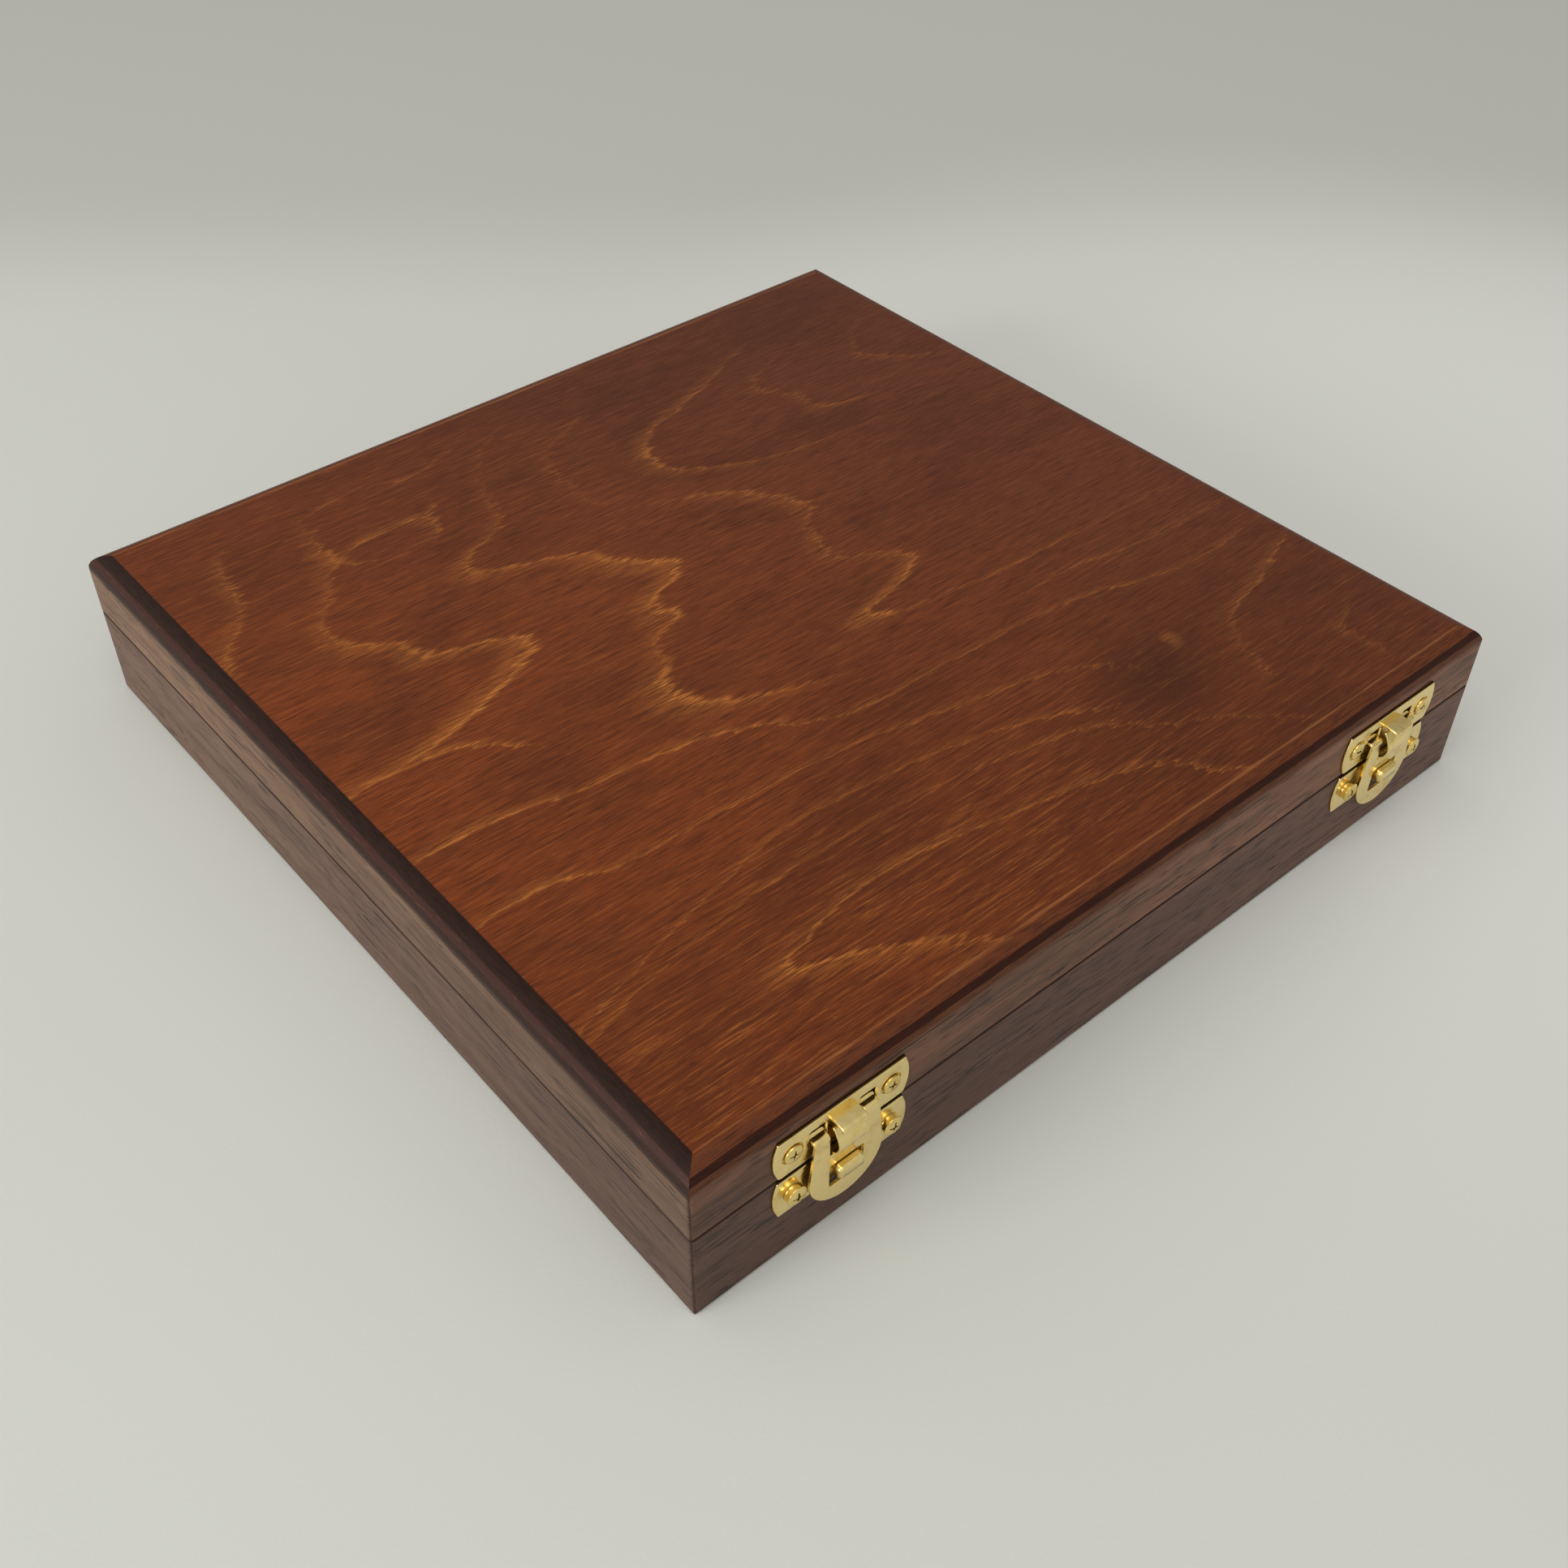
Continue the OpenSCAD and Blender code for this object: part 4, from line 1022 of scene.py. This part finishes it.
class CASE_OT_catch_screws(bpy.types.Operator):
    """Drives the screws of the catches: raised heads in the lid plates, pan heads in the keepers"""
    bl_idname = "case.catch_screws"
    bl_label = "Catch screws"

    def execute(self, context):
        catch = context.scene.case_catch
        turned = brass("Turned brass, polished", "#eed488", "#cfa952", 0.13, 0.5)
        # The second screw finish is painted shade in the cross recesses, with the dark polish that stays there.
        recess_shade_and_polish = brass("Turned brass, painted shade and dark polish in the recess", "#4a3618", "#2c1e0e", 0.45, 0.5)
        rng = random.Random(4)
        most_turned = 0.35
        for side in SIDES:
            middle = catch_middle(side)
            for node, plate, body, add_head in (("plate_screws_", "catch_plate_", "lid", self.raised_head),
                                                ("keeper_screws_", "keeper_", "base", self.pan_head)):
                z = node_box(plate + side)[1].z - catch.screw_drop / MM
                bm = bmesh.new()
                for s in (-1, 1):
                    def place(a, height, b, s=s, z=z, middle=middle):
                        return catch_point(middle, s * catch.screw_spacing / MM / 2 + a, height, z + b)

                    add_head(bm, place, rng.uniform(-most_turned, most_turned))
                    add_threaded_shank(bm, place, 1.1, 0.4, -8.0)
                piece = finish_mesh(node.capitalize() + side, bm, turned, recess_shade_and_polish)
                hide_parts(node + side)
                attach(piece, body)
        return {"FINISHED"}

    def raised_head(self, bm, place, turn):
        """Raised head, seated in the dimple of the lid plate and standing proud of it."""
        rim = [(2.33, 1.21), (2.41, 1.13), (2.44, 1.02), (2.44, 0.50), (2.38, 0.34), (1.1, -0.6)]
        add_cross_head(bm, place, 2.20, head_dome(1.62, 7.0), rim, (0.55, 2.7, 0.5), turn)

    def pan_head(self, bm, place, turn):
        """Pan head that stands tall on the keeper plate."""
        rim = [(2.55, 2.42), (2.63, 2.34), (2.65, 2.24), (2.58, 2.10), (2.46, 1.70), (2.40, 1.20), (2.44, 0.86),
               (2.50, 0.72)]
        add_cross_head(bm, place, 2.40, head_dome(3.02, 5.4), rim, (0.6, 3.0, 0.55), turn)


class CASE_OT_hinges(bpy.types.Operator):
    """Finishes the two butt hinges and their screws"""
    bl_idname = "case.hinges"
    bl_label = "Hinges"

    def execute(self, context):
        satin = brass("Rolled brass sheet, satin", "#d8c283", "#b4975a", 0.30, 0.3)
        turned = brass("Turned brass, dulled", "#cfb674", "#a88a4c", 0.26, 0.3)
        for side in SIDES:
            paint("hinge_base_leaf_" + side, satin)
            paint("hinge_lid_leaf_" + side, satin)
            paint("hinge_pin_" + side, turned)
        paint("hinge_base_screws", turned)
        paint("hinge_lid_screws", turned)
        return {"FINISHED"}


class CASE_OT_lining(bpy.types.Operator):
    """Lays a velvet-covered board in the base and in the lid"""
    bl_idname = "case.lining"
    bl_label = "Lining"

    def execute(self, context):
        velvet = lining_velvet()
        for name, node, body, facing in (("Tray_lining", "tray_pad", "base", 1),
                                         ("Lid_lining", "lid_pad", "lid", -1)):
            low, high = node_box(node)
            back, front = (low.z, high.z) if facing > 0 else (high.z, low.z)
            bm = self.board(context.scene.case_lining, high.x, high.y, back, front, facing)
            piece = finish_mesh(name, bm, velvet)
            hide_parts(node)
            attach(piece, body)
        return {"FINISHED"}

    def board(self, lining, half_x, half_y, back, front, facing):
        """Board whose cloth is crowned in the middle, turned over at the rim and a little uneven."""
        rim, crown = lining.rim / MM, lining.crown / MM
        cells, ripple_height, below_front = 60, 0.06, 0.08
        # Grid lines gather at the rim, where the fabric turns over.
        lines = [math.sin((-1 + 2 * k / cells) * math.pi / 2) for k in range(cells + 1)]
        bm = bmesh.new()
        grid = []
        for y in (line * half_y for line in lines):
            row = []
            for x in (line * half_x for line in lines):
                gap = min(half_x - abs(x), half_y - abs(y))
                drop = rim - math.sqrt(max(0.0, rim ** 2 - max(0.0, rim - gap) ** 2))
                swell = crown * (1 - (x / half_x) ** 4) * (1 - (y / half_y) ** 4)
                ripple = ripple_height * math.sin(x / 17.0 + 1.3) * math.cos(y / 23.0)
                row.append(bm.verts.new((x, y, front - facing * (crown - swell + drop + below_front - ripple))))
            grid.append(row)
        for near, far in zip(grid, grid[1:]):
            for k in range(cells):
                bm.faces.new((near[k], near[k + 1], far[k + 1], far[k]))
        sides = bmesh.ops.extrude_edge_only(bm, edges=[edge for edge in bm.edges if edge.is_boundary])["geom"]
        for vert in (part for part in sides if isinstance(part, bmesh.types.BMVert)):
            vert.co.z = back
        bmesh.ops.contextual_create(bm, geom=[edge for edge in bm.edges if edge.is_boundary])
        return bm


class CASE_OT_stage(bpy.types.Operator):
    """Sets the table, the lamps and the camera"""
    bl_idname = "case.stage"
    bl_label = "Stage"

    def execute(self, context):
        stage = context.scene.case_stage
        self.floor(stage)
        self.lights(context, stage)
        self.camera(context, stage)
        context.scene.view_settings.view_transform = "Standard"
        return {"FINISHED"}

    def floor(self, stage):
        """Table covering of rolled-out paper: matt, faintly blotched and with a fine tooth."""
        material, tree = new_material("Matt paper table covering")
        place = add(tree, "TexCoord").node.outputs["Object"]
        parts = add(tree, "SeparateXYZ", place).node.outputs
        # Painted shade dims the covering towards the back; painted light makes it paler at the right of the case.
        depth = add(tree, "Math", parts["X"], 0.65, add(tree, "Math", parts["Y"], 0.76, operation="MULTIPLY"),
                    operation="MULTIPLY_ADD")
        mottle = add(tree, "TexNoise", sockets={"Vector": place, "Scale": 3.0, "Detail": 4.0})
        from_right = add(tree, "VectorMath", place, (0.22, -0.06, 0.0), operation="DISTANCE")
        # Painted shade towards the back.
        ground = tinted(tree, stage.floor, stage.far, depth, 0.22, 0.36)
        ground = tinted(tree, ground, linear("#bcbcb2"), mottle, 0.35, 0.75, 0.0, 0.12)
        # Painted light at the right of the case, which lightens the case's shadow there.
        ground = tinted(tree, ground, linear("#dbdcd7"), from_right, 0.34, 0.10)
        # The paper's fibres are drawn about 1 mm apart, coarser than they are, so that they show.
        weave = add(tree, "TexNoise", sockets={"Vector": place, "Scale": 900.0, "Detail": 2.0})
        surface(tree, ground, 0.8, weave, 0.15, 0.2)
        bm = bmesh.new()
        bmesh.ops.create_circle(bm, cap_ends=True, radius=6000, segments=96)
        finish_mesh("Table", bm, material, smooth=False)

    def lights(self, context, stage):
        """The room's own light and two large soft lamps."""
        world = bpy.data.worlds.new("Room")
        context.scene.world = world
        world.use_nodes = True
        tree = world.node_tree
        tree.nodes.clear()
        # The room is bright at the left and near side and dim behind, where the polished lid looks.
        way = add(tree, "TexCoord").node.outputs["Generated"]
        facing = add(tree, "VectorMath", way, (-0.80, -0.36, 0.48), operation="DOT_PRODUCT")
        glow = add(tree, "MapRange", facing, -0.55, 0.85, stage.dim, stage.sky)
        add(tree, "OutputWorld", add(tree, "Background", linear("#f6f5f0"), glow))
        for name, spot, size, power in (("Window lamp", (-2.00, 0.10, 0.62), 1.2, stage.key),
                                        ("Ceiling lamp", (-0.45, -0.55, 1.90), 1.4, stage.fill)):
            light = bpy.data.lights.new(name, "AREA")
            light.shape = "DISK"
            light.size = size
            light.energy = power
            lamp = bpy.data.objects.new(name, light)
            lamp.location = spot
            lamp.rotation_euler = (Vector((0, 0, 0.02)) - Vector(spot)).to_track_quat("-Z", "Y").to_euler()
            context.scene.collection.objects.link(lamp)

    def camera(self, context, stage):
        """Camera at stage.place that looks down over the case's near left corner."""
        data = bpy.data.cameras.new("Camera")
        data.lens = stage.lens
        data.sensor_width = 36.0
        data.clip_start = 0.01
        data.clip_end = 30.0
        back = Vector((math.sin(stage.azimuth) * math.cos(stage.elevation),
                       -math.cos(stage.azimuth) * math.cos(stage.elevation), math.sin(stage.elevation)))
        right = Vector((0, 0, 1)).cross(back).normalized()
        up = back.cross(right)
        turned_right = right * math.cos(stage.roll) + up * math.sin(stage.roll)
        turned_up = up * math.cos(stage.roll) - right * math.sin(stage.roll)
        axes = Matrix((turned_right, turned_up, back)).transposed().to_4x4()
        camera = bpy.data.objects.new("Camera", data)
        camera.matrix_world = Matrix.Translation(Vector(stage.place)) @ axes
        context.scene.collection.objects.link(camera)
        context.scene.camera = camera


OPERATORS = (CASE_OT_wood, CASE_OT_catches, CASE_OT_catch_screws, CASE_OT_hinges, CASE_OT_lining, CASE_OT_stage)
SETTINGS = {"case_wood": CASE_PG_wood, "case_catch": CASE_PG_catch, "case_lining": CASE_PG_lining,
            "case_stage": CASE_PG_stage}


class CASE_PT_panel(bpy.types.Panel):
    """Lists the settings and the steps that finish the case"""
    bl_idname = "CASE_PT_panel"
    bl_label = "Presentation Case"
    bl_space_type = "VIEW_3D"
    bl_region_type = "UI"
    bl_category = "Case"

    def draw(self, context):
        for operator in OPERATORS:
            self.layout.operator(operator.bl_idname)
        for name, group in SETTINGS.items():
            box = self.layout.box()
            for key in group.__annotations__:
                box.prop(getattr(context.scene, name), key)


def register():
    for group in SETTINGS.values():
        bpy.utils.register_class(group)
    for name, group in SETTINGS.items():
        setattr(bpy.types.Scene, name, PointerProperty(type=group))
    for operator in OPERATORS:
        bpy.utils.register_class(operator)
    bpy.utils.register_class(CASE_PT_panel)


def unregister():
    bpy.utils.unregister_class(CASE_PT_panel)
    for operator in reversed(OPERATORS):
        bpy.utils.unregister_class(operator)
    for name, group in SETTINGS.items():
        delattr(bpy.types.Scene, name)
        bpy.utils.unregister_class(group)


def main():
    """Makes every piece."""
    register()
    for step in (bpy.ops.case.wood, bpy.ops.case.catches, bpy.ops.case.catch_screws, bpy.ops.case.hinges,
                 bpy.ops.case.lining, bpy.ops.case.stage):
        step()
    bpy.context.view_layer.update()


if __name__ == "__main__":
    main()
